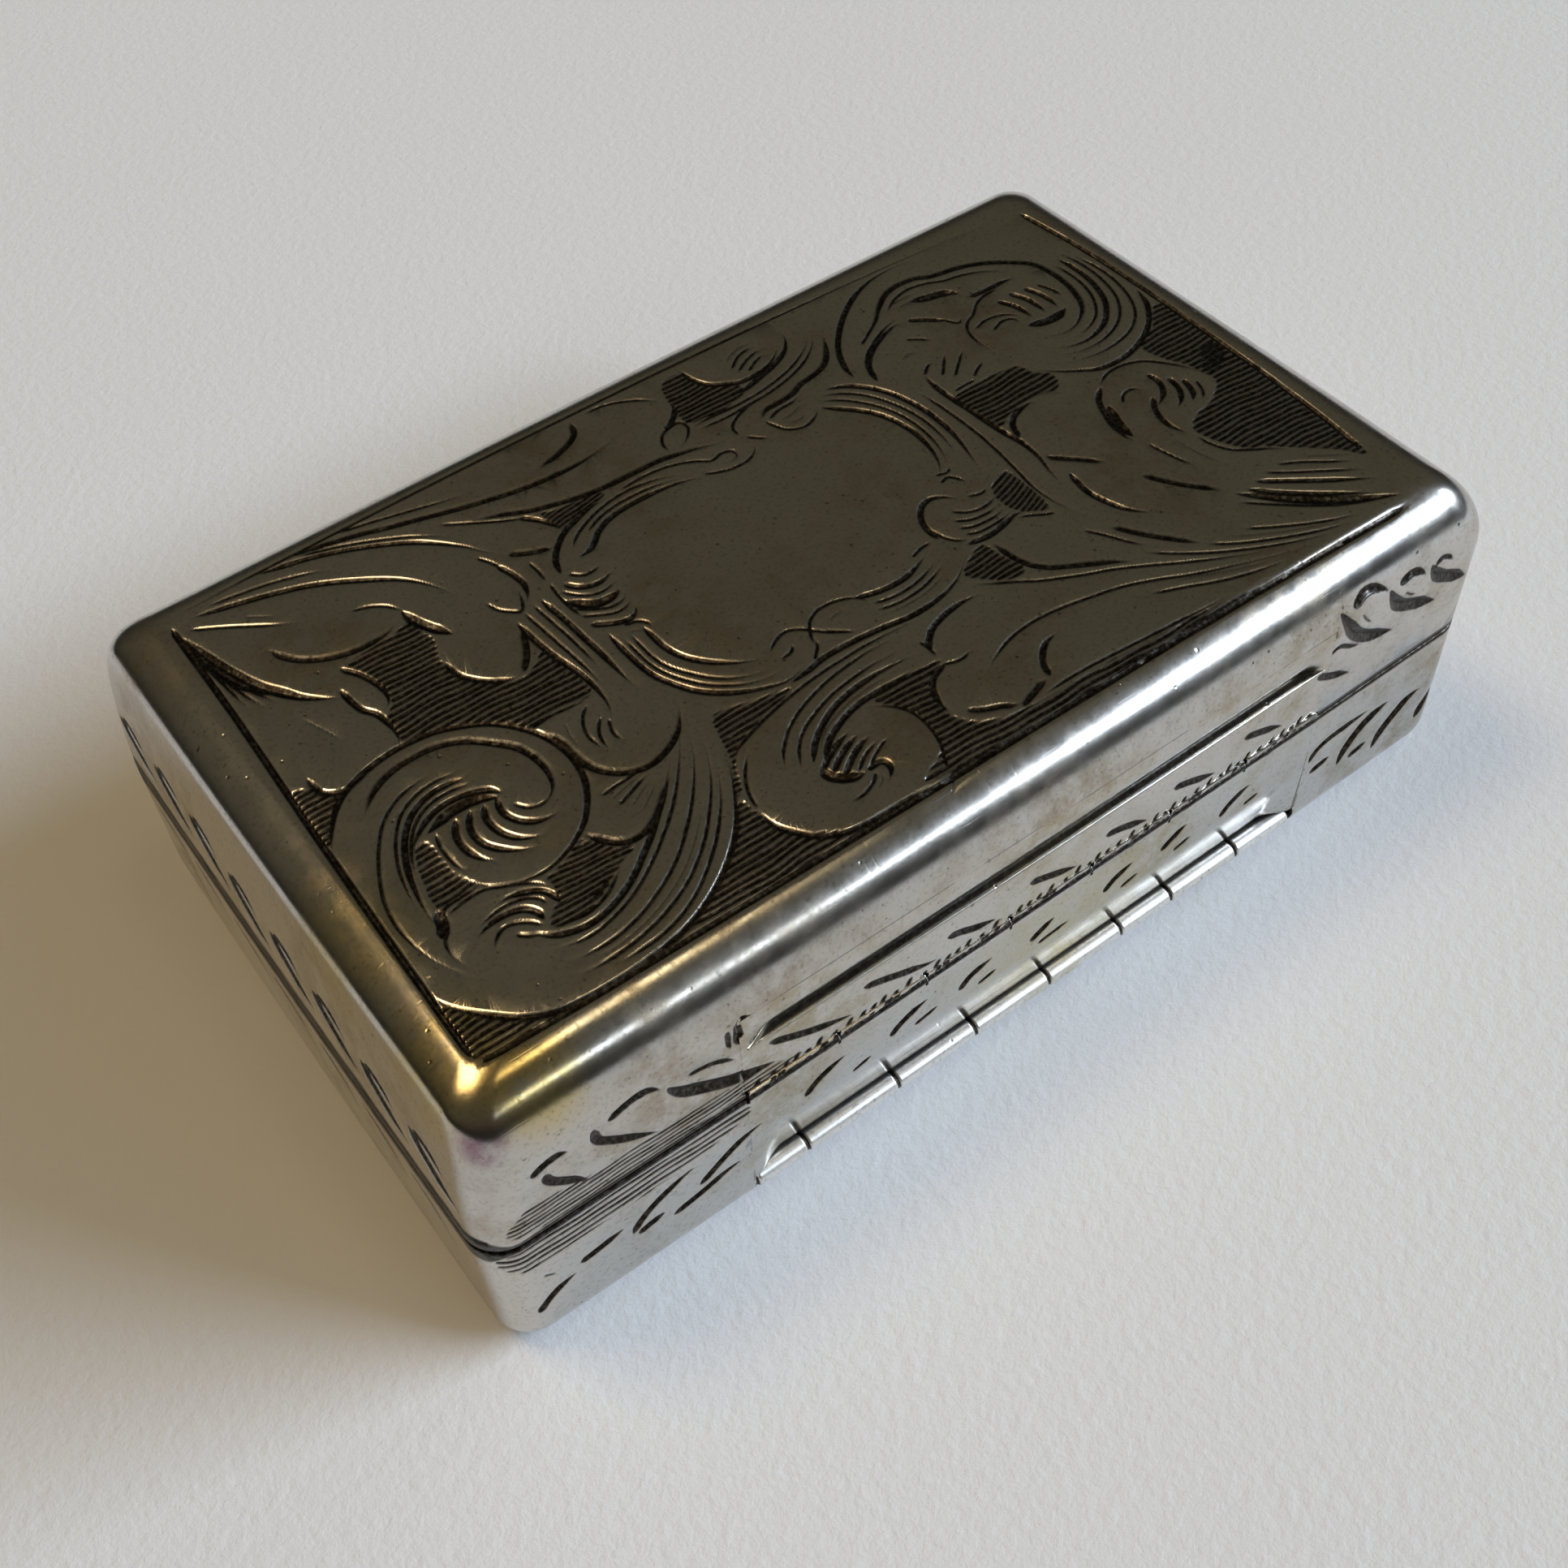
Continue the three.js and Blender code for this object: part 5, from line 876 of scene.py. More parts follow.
    allf = np.vstack([quads_to_tris(np.vstack(faces)), tri, t])
    return make_mesh(name, np.vstack(verts), allf,
                     {"cut": np.clip(np.concatenate(cutv) / 0.095, 0, 1.3), "inside": np.concatenate(insidev)})


# lid
NX, NY = 620, 372
rows = []
for i in range(1, 41):
    a = math.pi / 2 * i / 40
    inset = RIM_IN * (1 - math.sin(a))
    no, nz = RIM_DOWN * math.sin(a), RIM_IN * math.cos(a)
    k = math.hypot(no, nz)
    z = HEIGHT - RIM_DOWN + RIM_DOWN * math.cos(a)
    rows.append((inset, CORNER_R - 0.25 * inset, z, no / k, nz / k, left_rim(z)))
for i in range(1, 59):
    z = HEIGHT - RIM_DOWN + (LID_Z0 + 0.05 - HEIGHT + RIM_DOWN) * i / 58
    rows.append((0.0, CORNER_R, z, 1.0, 0.0, left_rim(z)))
rows.append((0.015, CORNER_R, LID_Z0 + 0.025, 1.0, 0.0, 0.015))
rows.append((0.06, CORNER_R, LID_Z0, 0.0, 0.0, 0.06))
inner = [(WALL - 0.05, CORNER_R - WALL * 0.6, LID_Z0, WALL - 0.05), (WALL, CORNER_R - WALL * 0.6, LID_Z0 + 0.05, WALL)]
inner += [(WALL, CORNER_R - WALL * 0.6, z, WALL + left_rim(z)) for z in (7.0, 7.6, 8.2, 8.8, 9.3)]
for i in range(11):
    a = math.pi / 2 * (1 - i / 10)
    inset = WALL + (RIM_IN - WALL * 0.5) * (1 - math.sin(a))
    z = HEIGHT - RIM_DOWN + (RIM_DOWN - WALL) * math.cos(a)
    inner.append((inset, CORNER_R - 0.3 - 0.2 * inset, z, inset + min(left_rim(z), 0.5)))
lid = shell("lid_cover_engraved", rows, inner, RIM_IN, CORNER_R - 0.25 * RIM_IN, HEIGHT, NX, NY, True)
lid_tools = [cut_away(lid, *WINDOW_LID), cut_away(lid, *RELIEF)]

# base
rows = []
for i in range(1, 31):
    a = math.pi / 2 * i / 30
    inset = FOOT_R * (1 - math.sin(a))
    rows.append((inset, CORNER_R - 0.25 * inset, FOOT_R * (1 - math.cos(a)), math.sin(a), -math.cos(a), inset))
for i in range(1, 75):
    rows.append((0.0, CORNER_R, FOOT_R + (BASE_Z1 - 0.05 - FOOT_R) * i / 74, 1.0, 0.0, 0.0))
rows.append((0.015, CORNER_R, BASE_Z1 - 0.025, 1.0, 0.0, 0.015))
rows.append((0.06, CORNER_R, BASE_Z1, 0.0, 0.0, 0.06))
inner = [(WALL - 0.05, CORNER_R - WALL * 0.6, BASE_Z1, None), (WALL, CORNER_R - WALL * 0.6, BASE_Z1 - 0.05, None),
         (WALL, CORNER_R - WALL * 0.6, 4.0, None)]
r_in = FOOT_R - WALL * 0.6
for i in range(11):
    a = math.pi / 2 * (1 - i / 10)
    inset = WALL + r_in * (1 - math.sin(a))
    inner.append((inset, CORNER_R - 0.3 - 0.2 * inset, WALL + r_in * (1 - math.cos(a)), None))
base = shell("base_shell_engraved", rows, inner, FOOT_R, CORNER_R - 0.25 * FOOT_R, 0.0, 560, 336, False)
base_tools = [cut_away(base, *WINDOW_BASE), cut_away(base, *RELIEF)]
for o, faces, tools in ((lid, 193000, lid_tools), (base, 150000, base_tools)):
    settle(o, tools)
    fine = bpy.data.objects.new("fine", o.data.copy())
    bpy.context.scene.collection.objects.link(fine)
    fine.data.polygons.foreach_set("use_smooth", np.ones(len(fine.data.polygons), bool))
    fine.data.set_sharp_from_angle(angle=math.radians(60))
    modify(o, "DECIMATE", ratio=min(1.0, faces / len(o.data.polygons)))
    settle(o)
    modify(o, "DATA_TRANSFER", object=fine, use_loop_data=True, data_types_loops={"CUSTOM_NORMAL"},
           loop_mapping="POLYINTERP_NEAREST")
    settle(o, [fine])


# ------------------------------------------------------------------ hinge side
def bow_at(x):
    """How far the long wall's face stands back from its middle, at x."""
    return BOW * (np.asarray(x) / (LENGTH / 2)) ** 2


def rounded(profile, radius, steps=3, keep=()):
    """The closed profile with its corners rounded."""
    p = np.asarray(profile, float)
    out = []
    for i in range(len(p)):
        a, b, c = p[i - 1], p[i], p[(i + 1) % len(p)]
        u, v = a - b, c - b
        lu, lv = np.hypot(*u), np.hypot(*v)
        turn = abs(np.cross(u, v)) / max(lu * lv, 1e-9)
        r = min(radius, 0.45 * lu, 0.45 * lv)
        if i in keep or turn < 0.25:
            out.append(b)
            continue
        p0, p1 = b + u / lu * r, b + v / lv * r
        for t in np.linspace(0, 1, steps + 1):
            out.append((1 - t) ** 2 * p0 + 2 * t * (1 - t) * b + t ** 2 * p1)
    return np.array(out)


def resample(profile, gap):
    """The closed profile with no side longer than `gap`."""
    p = np.asarray(profile, float)
    out = []
    for i in range(len(p)):
        a, b = p[i], p[(i + 1) % len(p)]
        n = max(1, int(math.ceil(np.hypot(*(b - a)) / gap)))
        out += [a + (b - a) * t / n for t in range(n)]
    return np.array(out)


def sweep_x(name, profile, x0, x1, step, depth=None, bowed=True, shape=None, dark=None):
    """A closed profile of (set in from the face, height) run along X. depth(x, z, u) gives cuts into the face,
    shape(x, z, u) changes the set-in along the way and dark(x, z, u) gives painted shade: how dark the recesses are
    painted where shade falls."""
    p = np.asarray(profile, float)
    xs = np.linspace(x0, x1, int(round((x1 - x0) / step)) + 1)
    m = len(p)
    X = np.repeat(xs[:, None], m, 1)
    U = np.repeat(p[None, :, 0], len(xs), 0)
    Z = np.repeat(p[None, :, 1], len(xs), 0)
    D = np.zeros_like(X)
    if depth is not None:
        D = depth(X, Z, U)
    # painted shade from dark(), carried in the cut attribute together with the cut depth
    G = dark(X, Z, U) if dark is not None else np.zeros_like(X)
    if shape is not None:
        U = shape(X, Z, U)
    face = FACE_Y + (bow_at(X) if bowed else 0.0)
    Y = face + U + D - np.where(U < 0.6, sway_at(X, face + 0 * U, Z), 0.0)
    verts = np.stack([X, Y, Z], -1).reshape(-1, 3)
    ids = np.arange(len(verts)).reshape(len(xs), m)
    q = np.stack([ids[:-1], np.roll(ids, -1, 1)[:-1], np.roll(ids, -1, 1)[1:], ids[1:]], -1).reshape(-1, 4).tolist()
    caps = [ids[0][::-1].tolist(), ids[-1].tolist()]
    o = make_mesh(name, verts, q + caps, {"cut": np.clip(np.maximum(D / 0.095, G).ravel(), 0, 1.3), "inside": np.zeros(len(verts))})
    return o


def face_out(o):
    """Turns every face of o outwards."""
    import bmesh
    bm = bmesh.new()
    bm.from_mesh(o.data)
    bmesh.ops.recalc_face_normals(bm, faces=bm.faces)
    if bm.calc_volume(signed=True) < 0:
        bmesh.ops.reverse_faces(bm, faces=bm.faces)
    bm.to_mesh(o.data)
    bm.free()
    return o


def sharp_by_angle(o, degrees):
    o.data.set_sharp_from_angle(angle=math.radians(degrees))
    return o


SEAT_H = math.sqrt(CHANNEL_R ** 2 - AXIS_IN ** 2)


def seat(z_sign, n=7):
    """The hollow that the knuckles lie in, from the face to the strip's end, as (set in, height)."""
    a0 = math.atan2(z_sign * SEAT_H, -AXIS_IN)
    a1 = z_sign * math.asin(0.06 / CHANNEL_R)
    if z_sign < 0 and a0 > 0:
        a0 -= 2 * math.pi
    return [(AXIS_IN + CHANNEL_R * math.cos(a), PART_Z + CHANNEL_R * math.sin(a)) for a in np.linspace(a0, a1, n)]


def front_depth(x, z, u):
    d = WALLS["front"].at(x - PANEL_X, z)
    return np.where(u < 0.02, d, 0.0)


def run_out(x, reach=1.3):
    """0 at both ends of the strips, 1 away from them."""
    e = np.clip(np.minimum(x - HINGE_X0, HINGE_X1 - x) / reach, 0, 1)
    return e * e * (3 - 2 * e)


def lid_shape(x, z, u):
    return np.where((z > 8.5) & (z < 9.8) & (u < 0.6), u * run_out(x), u)


# painted shade: the deepest part of the cove over the ledge is painted dark where shade falls in the recess, fading out
# towards the strip's ends
def lid_painted_shade(x, z, u):
    return np.where((u < 0.6) & (z < 9.1) & (z > 8.71), np.clip((u - 0.2) / 0.12, 0, 1), 0.0) * run_out(x)


def base_shape(x, z, u):
    m = (z < 3.97) & (z > 1.5) & (u < 0.7)
    return np.where(m, u * (0.12 + 0.88 * run_out(x)), u)


# painted shade: the foot of the low cove, behind and over the rod, is painted darker where it lies in shade
def base_painted_shade(x, z, u):
    return np.where((z < 1.75) & (u > 0.3) & (u < 1.0), 0.35 * np.clip((1.75 - z) / 0.3, 0, 1), 0.0)


NEAR = SEAT_GAP - 0.006             # the strips all but fill their windows
cove_up = [(0.40, 8.69), (0.42, 8.74), (0.40, 8.84), (0.33, 8.95), (0.21, 9.08), (0.11, 9.24), (0.04, 9.42), (0.006, 9.6),
           (0.0, 9.8), (0.0064, 10.0), (0.031, STRIP_TOP_Z + NEAR)]
lip = [(0.0, 8.54), (0.012, 8.61), (0.05, 8.665), (0.12, 8.68)]
lid_profile = seat(1) + [(STRIP_DEPTH, LID_Z0), (STRIP_DEPTH, STRIP_TOP_Z + NEAR)] + cove_up[::-1] + lip[::-1]
lid_strip = sweep_x("lid_hinge_strip", resample(lid_profile, 0.05), HINGE_X0 - NEAR, HINGE_X1 + NEAR, 0.06, front_depth,
                    shape=lid_shape, dark=lid_painted_shade)
low = [(0.0, 3.95), (0.02, 3.75), (0.08, 3.45), (0.18, 3.0), (0.3, 2.5), (0.4, 2.05), (0.46, 1.68), (0.5, 1.55), (0.6, 1.48),
       (0.78, 1.45), (0.78, STRIP_FOOT_Z)]
base_profile = seat(-1)[::-1]
base_profile = [(STRIP_DEPTH, BASE_Z1)] + base_profile + low + [(STRIP_DEPTH, STRIP_FOOT_Z)]
base_strip = sweep_x("base_hinge_strip", resample(base_profile, 0.05), HINGE_X0 - NEAR, HINGE_X1 + NEAR, 0.06, front_depth,
                     shape=base_shape, dark=base_painted_shade)
for o in (lid_strip, base_strip):
    face_out(o)
    n = 2 * len(o.data.polygons)
    if n > 90000:
        modify(o, "DECIMATE", ratio=90000 / n)
        settle(o)
    sharp_by_angle(o, 55)

# the bright rod, with its saw cuts
xs = np.arange(HINGE_X0 + 0.04, HINGE_X1 - 0.0399, 0.03)
rad = np.full(len(xs), ROD_R)
for c in ROD_NOTCHES:
    rad = np.minimum(rad, ROD_R - 0.10 * np.clip(1 - np.abs(xs - c) / 0.085, 0, 1) ** 0.6)
rad = np.minimum(rad, ROD_R - 0.16 * np.clip(1 - (xs - xs[0]) / 0.16, 0, 1) ** 2)
rad = np.minimum(rad, ROD_R - 0.16 * np.clip(1 - (xs[-1] - xs) / 0.16, 0, 1) ** 2)
rad = rad - 0.012 * (1 + value_noise(xs, 0 * xs, 0 * xs, 1.1, 31)) / 2
th = np.linspace(0, 2 * math.pi, 37)[:-1]
X = np.repeat(xs[:, None], len(th), 1)
Y = FACE_Y + ROD_IN + bow_at(X) * 0.0 + rad[:, None] * np.cos(th)[None]
Z = ROD_Z + rad[:, None] * np.sin(th)[None]
ids = np.arange(X.size).reshape(X.shape)
q = np.stack([ids[:-1], np.roll(ids, -1, 1)[:-1], np.roll(ids, -1, 1)[1:], ids[1:]], -1).reshape(-1, 4).tolist()
rod = face_out(make_mesh("base_bead_rod_turned", np.stack([X, Y, Z], -1).reshape(-1, 3),
                         q + [ids[0][::-1].tolist(), ids[-1].tolist()],
                         {"cut": np.repeat(np.clip((ROD_R - 0.02 - rad) / 0.12, 0, 1)[:, None], len(th), 1).ravel(),
                          "inside": np.zeros(X.size)}))

# knuckles: short tubes, filed flush with the wall and scribed along the parting line
pitch = (HINGE_X1 - HINGE_X0) / 7
FLAT_U = -0.012
flat_half = math.sqrt(KNUCKLE_R ** 2 - (AXIS_IN - FLAT_U) ** 2)
turn0 = math.acos((FLAT_U - AXIS_IN) / KNUCKLE_R)
round_th = np.linspace(-turn0, turn0, 25)
cross_u = np.concatenate([AXIS_IN + KNUCKLE_R * np.cos(round_th), np.full(27, FLAT_U)])
cross_z = np.concatenate([KNUCKLE_R * np.sin(round_th), np.linspace(flat_half, -flat_half, 29)[1:-1]])
bore_th = np.arctan2(cross_z, cross_u - AXIS_IN)
knuckles = []
for i in range(7):
    x0, x1 = HINGE_X0 + i * pitch + 0.03, HINGE_X0 + (i + 1) * pitch - 0.03
    xs = np.linspace(x0, x1, 91)
    n_th = len(cross_u)
    X = np.repeat(xs[:, None], n_th, 1)
    U = np.repeat(cross_u[None], len(xs), 0)
    Z = np.repeat(cross_z[None], len(xs), 0)
    e = np.minimum(X - x0, x1 - X)
    ease = 1 - 0.10 * np.clip(1 - e / 0.05, 0, 1) ** 2
    on_flat = U < FLAT_U + 1e-6
    line = np.clip(1 - np.abs(Z - 0.02 + 0.015 * np.sin(X * 2.1)) / (0.13 + 0.04 * np.sin(X * 5.3)), 0, 1)
    tick = np.zeros_like(X)
    for k, t in enumerate(np.arange(x0 + 0.2, x1 - 0.12, 0.47)):
        t = t + 0.1 * math.sin(7.3 * t)
        d = np.abs(X - t - 0.45 * Z) / (0.12 + 0.03 * math.sin(5.1 * t))
        rise = 0.24 + 0.07 * math.sin(3.1 * t + 1.0)
        tick = np.maximum(tick, np.clip(1 - d, 0, 1) * np.clip((rise - Z) / 0.06, 0, 1) * (Z > 0))
    carve = np.where(on_flat, np.maximum(0.05 * np.sqrt(line), 0.05 * np.sqrt(tick)), 0.0)
    Uo = AXIS_IN + (U - AXIS_IN) * ease + carve
    Zo = Z * ease
    Ub = np.repeat((AXIS_IN + KNUCKLE_BORE_R * np.cos(bore_th))[None], len(xs), 0)
    Zb = np.repeat((KNUCKLE_BORE_R * np.sin(bore_th))[None], len(xs), 0)
    X = np.vstack([X, X[::-1]])
    Y = FACE_Y + np.vstack([Uo, Ub])
    Z = PART_Z + np.vstack([Zo, Zb])
    ids = np.arange(X.size).reshape(X.shape)
    q = np.stack([ids, np.roll(ids, -1, 1), np.roll(np.roll(ids, -1, 1), -1, 0), np.roll(ids, -1, 0)], -1).reshape(-1, 4)
    # dark patina in the scribed line and ticks; painted shade at the knuckles' ends, in the gaps between them; the bore
    # inside is painted fully dark as shade
    knuckle_patina_and_shade = np.maximum(np.clip(carve / 0.014, 0, 1.2), 0.8 * np.clip(1 - e / 0.03, 0, 1))
    owner = "base" if i % 2 == 0 else "lid"
    number = i // 2 + 1
    o = face_out(make_mesh(f"{owner}_knuckle_{number}_filed", np.stack([X, Y, Z], -1).reshape(-1, 3), q.tolist(),
                           {"cut": np.vstack([knuckle_patina_and_shade, np.ones_like(knuckle_patina_and_shade)]).ravel(), "inside": np.zeros(X.size)}))
    sharp_by_angle(o, 60)
    knuckles.append((o, owner, f"{owner}_knuckle_{number}"))


# ------------------------------------------------------------------ pieces that follow their CAD solid, with eased edges
def eased(node, name, width, segments=2, angle=30):
    import bmesh
    src = NODES[node]
    bm = bmesh.new()
    bm.from_mesh(src.data)
    bmesh.ops.remove_doubles(bm, verts=bm.verts, dist=1e-7)
    bmesh.ops.dissolve_limit(bm, angle_limit=math.radians(1.0), verts=bm.verts, edges=bm.edges)
    me = bpy.data.meshes.new(name)
    bm.to_mesh(me)
    bm.free()
    for layer in [a.name for a in me.attributes if a.name.startswith("custom_normal")]:
        me.attributes.remove(me.attributes[layer])
    o = bpy.data.objects.new(name, me)
    bpy.context.scene.collection.objects.link(o)
    modify(o, "BEVEL", width=width * 0.001, segments=segments, limit_method="ANGLE", angle_limit=math.radians(angle))
    settle(o)
    me = o.data
    me.polygons.foreach_set("use_smooth", np.ones(len(me.polygons), bool))
    o.data.set_sharp_from_angle(angle=math.radians(40))
    for key, val in (("cut", 0.0), ("inside", 1.0)):
        a = me.attributes.new(key, "FLOAT", "POINT")
        a.data.foreach_set("value", np.full(len(me.vertices), val, np.float32))
    return o


grille = eased("grille_plate", "grille_plate_eased", 0.07, 2, 25)
seat_frame = eased("grille_seat_frame", "grille_seat_frame_eased", 0.06)
bezel = eased("base_bezel", "base_bezel_eased", 0.05)
tab = eased("grille_lift_tab", "grille_lift_tab_eased", 0.09, 3)
grille_tubes = [(eased(n, n + "_eased", 0.05), n) for n in
                ("grille_knuckle", "base_grille_knuckle_left", "base_grille_knuckle_right")]

# thumbpiece: a fluted lip on the far side
nu, nv = 121, 33
us, vs = np.linspace(-1, 1, nu), np.linspace(0, 1, nv)
U, V = np.meshgrid(us, vs)
reach = 0.30 + 0.70 * np.sqrt(np.clip(1 - U ** 2, 0, 1))
scallop = 1 - 0.05 * (1 - np.abs(np.cos(U * 4.5 * math.pi / 1.0))) * V
X = 3.55 * U * (1 - 0.06 * V)
Y = WIDTH / 2 - 0.025 + (1.045 * reach * scallop) * V
flute = 0.05 * np.clip(np.sin(V * math.pi), 0, 1) * (1 - np.cos(U * 9 * math.pi)) / 2
drop = 0.30 * V ** 2
top = np.stack([X, Y, 7.69 - drop - flute - 0.25 * np.clip((V - 0.9) / 0.1, 0, 1) ** 2], -1)
bottom = np.stack([X, Y, 6.53 + 0.42 * V ** 1.5 + 0.2 * np.clip((V - 0.9) / 0.1, 0, 1) ** 2], -1)
n = nu * nv
ids = np.arange(n).reshape(nv, nu)
q = np.stack([ids[:-1, :-1], ids[:-1, 1:], ids[1:, 1:], ids[1:, :-1]], -1).reshape(-1, 4)
edge = np.concatenate([ids[0, :-1], ids[:-1, -1], ids[-1, :0:-1], ids[:0:-1, 0]])
nxt = np.roll(edge, -1)
q = np.vstack([q, q[:, ::-1] + n, np.stack([edge, edge + n, nxt + n, nxt], -1)])
thumb = face_out(make_mesh("lid_thumbpiece_fluted", np.vstack([top.reshape(-1, 3), bottom.reshape(-1, 3)]), q.tolist(),
                           {"cut": np.concatenate([(flute / 0.06).ravel(), np.zeros(n)]), "inside": np.zeros(2 * n)}))
sharp_by_angle(thumb, 50)


# sponge: a soft porous block, rounded and crowned
def block(x0, x1, y0, y1, z0, z1, gap):
    import bmesh
    bm = bmesh.new()
    nx, ny, nz = (max(2, int((b - a) / gap)) for a, b in ((x0, x1), (y0, y1), (z0, z1)))
    xs, ys, zs = np.linspace(x0, x1, nx), np.linspace(y0, y1, ny), np.linspace(z0, z1, nz)

    def grid(a, b, place):
        vs = [[bm.verts.new(place(u, v)) for u in a] for v in b]
        for j in range(len(b) - 1):
            for i in range(len(a) - 1):
                bm.faces.new((vs[j][i], vs[j][i + 1], vs[j + 1][i + 1], vs[j + 1][i]))

    for z in (z0, z1):
        grid(xs, ys, lambda u, v, z=z: (u, v, z))
    for y in (y0, y1):
        grid(xs, zs, lambda u, v, y=y: (u, y, v))
    for x in (x0, x1):
        grid(ys, zs, lambda u, v, x=x: (x, u, v))
    bmesh.ops.remove_doubles(bm, verts=bm.verts, dist=gap * 0.1)
    bmesh.ops.recalc_face_normals(bm, faces=bm.faces)
    bm.verts.ensure_lookup_table()
    bm.verts.index_update()
    co = np.array([v.co for v in bm.verts])
    fs = [[v.index for v in f.verts] for f in bm.faces]
    bm.free()
    return co, fs


S0, S1 = np.array([-15.6, -7.9, 0.75]), np.array([15.6, 8.5, 3.85])
co, fs = block(*[v for pair in zip(S0, S1) for v in pair], 0.24)
mid, half = (S0 + S1) / 2, (S1 - S0) / 2
r = 1.1
core = np.clip(co - mid, -(half - r), half - r)
out = co - mid - core
ln = np.linalg.norm(out, axis=1, keepdims=True)
nrm = out / np.maximum(ln, 1e-9)
pos = mid + core + nrm * r
flat = ln[:, 0] < 1e-9
pos[flat] = co[flat]
rel = (pos - mid) / half
pull = 0.35 * (1 - rel[:, 0] ** 2) * np.abs(rel[:, 1]) ** 4
pos[:, 1] -= np.sign(rel[:, 1]) * pull
pos[:, 0] -= np.sign(rel[:, 0]) * 0.3 * (1 - rel[:, 1] ** 2) * np.abs(rel[:, 0]) ** 6
pos[:, 2] -= np.where(rel[:, 2] > 0, 0.45 * np.maximum(np.abs(rel[:, 0]), np.abs(rel[:, 1])) ** 3, 0)
rng = np.random.default_rng(7)
from mathutils.kdtree import KDTree
pores = []
for k in range(2600):
    c = S0 + (S1 - S0) * rng.uniform(0, 1, 3)
    a = rng.integers(0, 3)
    c[a] = (S0, S1)[rng.integers(0, 2)][a]
    pores.append((c, rng.uniform(0.16, 0.55)))
tree = KDTree(len(pores))
for i, (c, _) in enumerate(pores):
    tree.insert(Vector(c), i)
tree.balance()
deep = np.zeros(len(pos))
for i, p in enumerate(co):
    for c, k, d in tree.find_range(Vector(p), 0.55):
        R = pores[k][1]
        if d < R:
            deep[i] = max(deep[i], 0.75 * R * (1 - (d / R) ** 2))
deep += 0.1 * (1 + value_noise(co[:, 0], co[:, 1], co[:, 2], 0.7, 41)) / 2
deep += 0.08 * (1 + value_noise(co[:, 0], co[:, 1], co[:, 2], 2.2, 42)) / 2
pos = pos - nrm * deep[:, None]
pos[flat] = pos[flat] - np.stack([0 * deep[flat], 0 * deep[flat], np.sign(co[flat, 2] - mid[2]) * deep[flat]], -1)
sponge = face_out(make_mesh("sponge_porous", pos, fs, {"cut": np.clip(deep / 0.4, 0, 1), "inside": np.zeros(len(pos))}))


# ------------------------------------------------------------------ materials
def node(nt, kind, props=None, **inputs):
    nd = nt.nodes.new("ShaderNode" + kind)
    for k, v in (props or {}).items():
        setattr(nd, k, v)
    for k, v in inputs.items():
        sock = nd.inputs[int(k[1:])] if k[0] == "i" and k[1:].isdigit() else nd.inputs[k.replace("_", " ")]
        if isinstance(v, bpy.types.NodeSocket):
            nt.links.new(v, sock)
        else:
            sock.default_value = v
    return nd


def start(name):
    m = bpy.data.materials.new(name)
    m.use_nodes = True
    nt = m.node_tree
    nt.nodes.clear()
    out = node(nt, "OutputMaterial")
    bsdf = node(nt, "BsdfPrincipled")
    nt.links.new(bsdf.outputs[0], out.inputs["Surface"])
    where = node(nt, "TexCoord").outputs["Object"]
    p = node(nt, "VectorMath", {"operation": "SCALE"}, Vector=where, Scale=1000.0).outputs[0]
    return m, nt, bsdf, p


def mix(nt, fac, a, b):
    return node(nt, "Mix", {"data_type": "RGBA"}, i0=fac, i6=a, i7=b).outputs[2]


def ranged(nt, v, a, b, c=0.0, d=1.0, smooth_step=True):
    return node(nt, "MapRange", {"interpolation_type": "SMOOTHSTEP" if smooth_step else "LINEAR"},
                Value=v, From_Min=a, From_Max=b, To_Min=c, To_Max=d).outputs[0]


def maths(nt, op, a, b=0.0, clamp=False):
    return node(nt, "Math", {"operation": op, "use_clamp": clamp}, i0=a, i1=b).outputs[0]


def noise(nt, p, scale, detail=4.0, rough=0.55, stretch=None, turn=(0, 0, 0)):
    if stretch:
        p = node(nt, "Mapping", None, Vector=p, Rotation=turn, Scale=stretch).outputs[0]
    return node(nt, "TexNoise", None, Vector=p, Scale=scale, Detail=detail, Roughness=rough).outputs[0]


def spot(nt, p, at, r0, r1):
    d = node(nt, "VectorMath", {"operation": "DISTANCE"}, i0=p, i1=at).outputs["Value"]
    return ranged(nt, d, r1, r0)


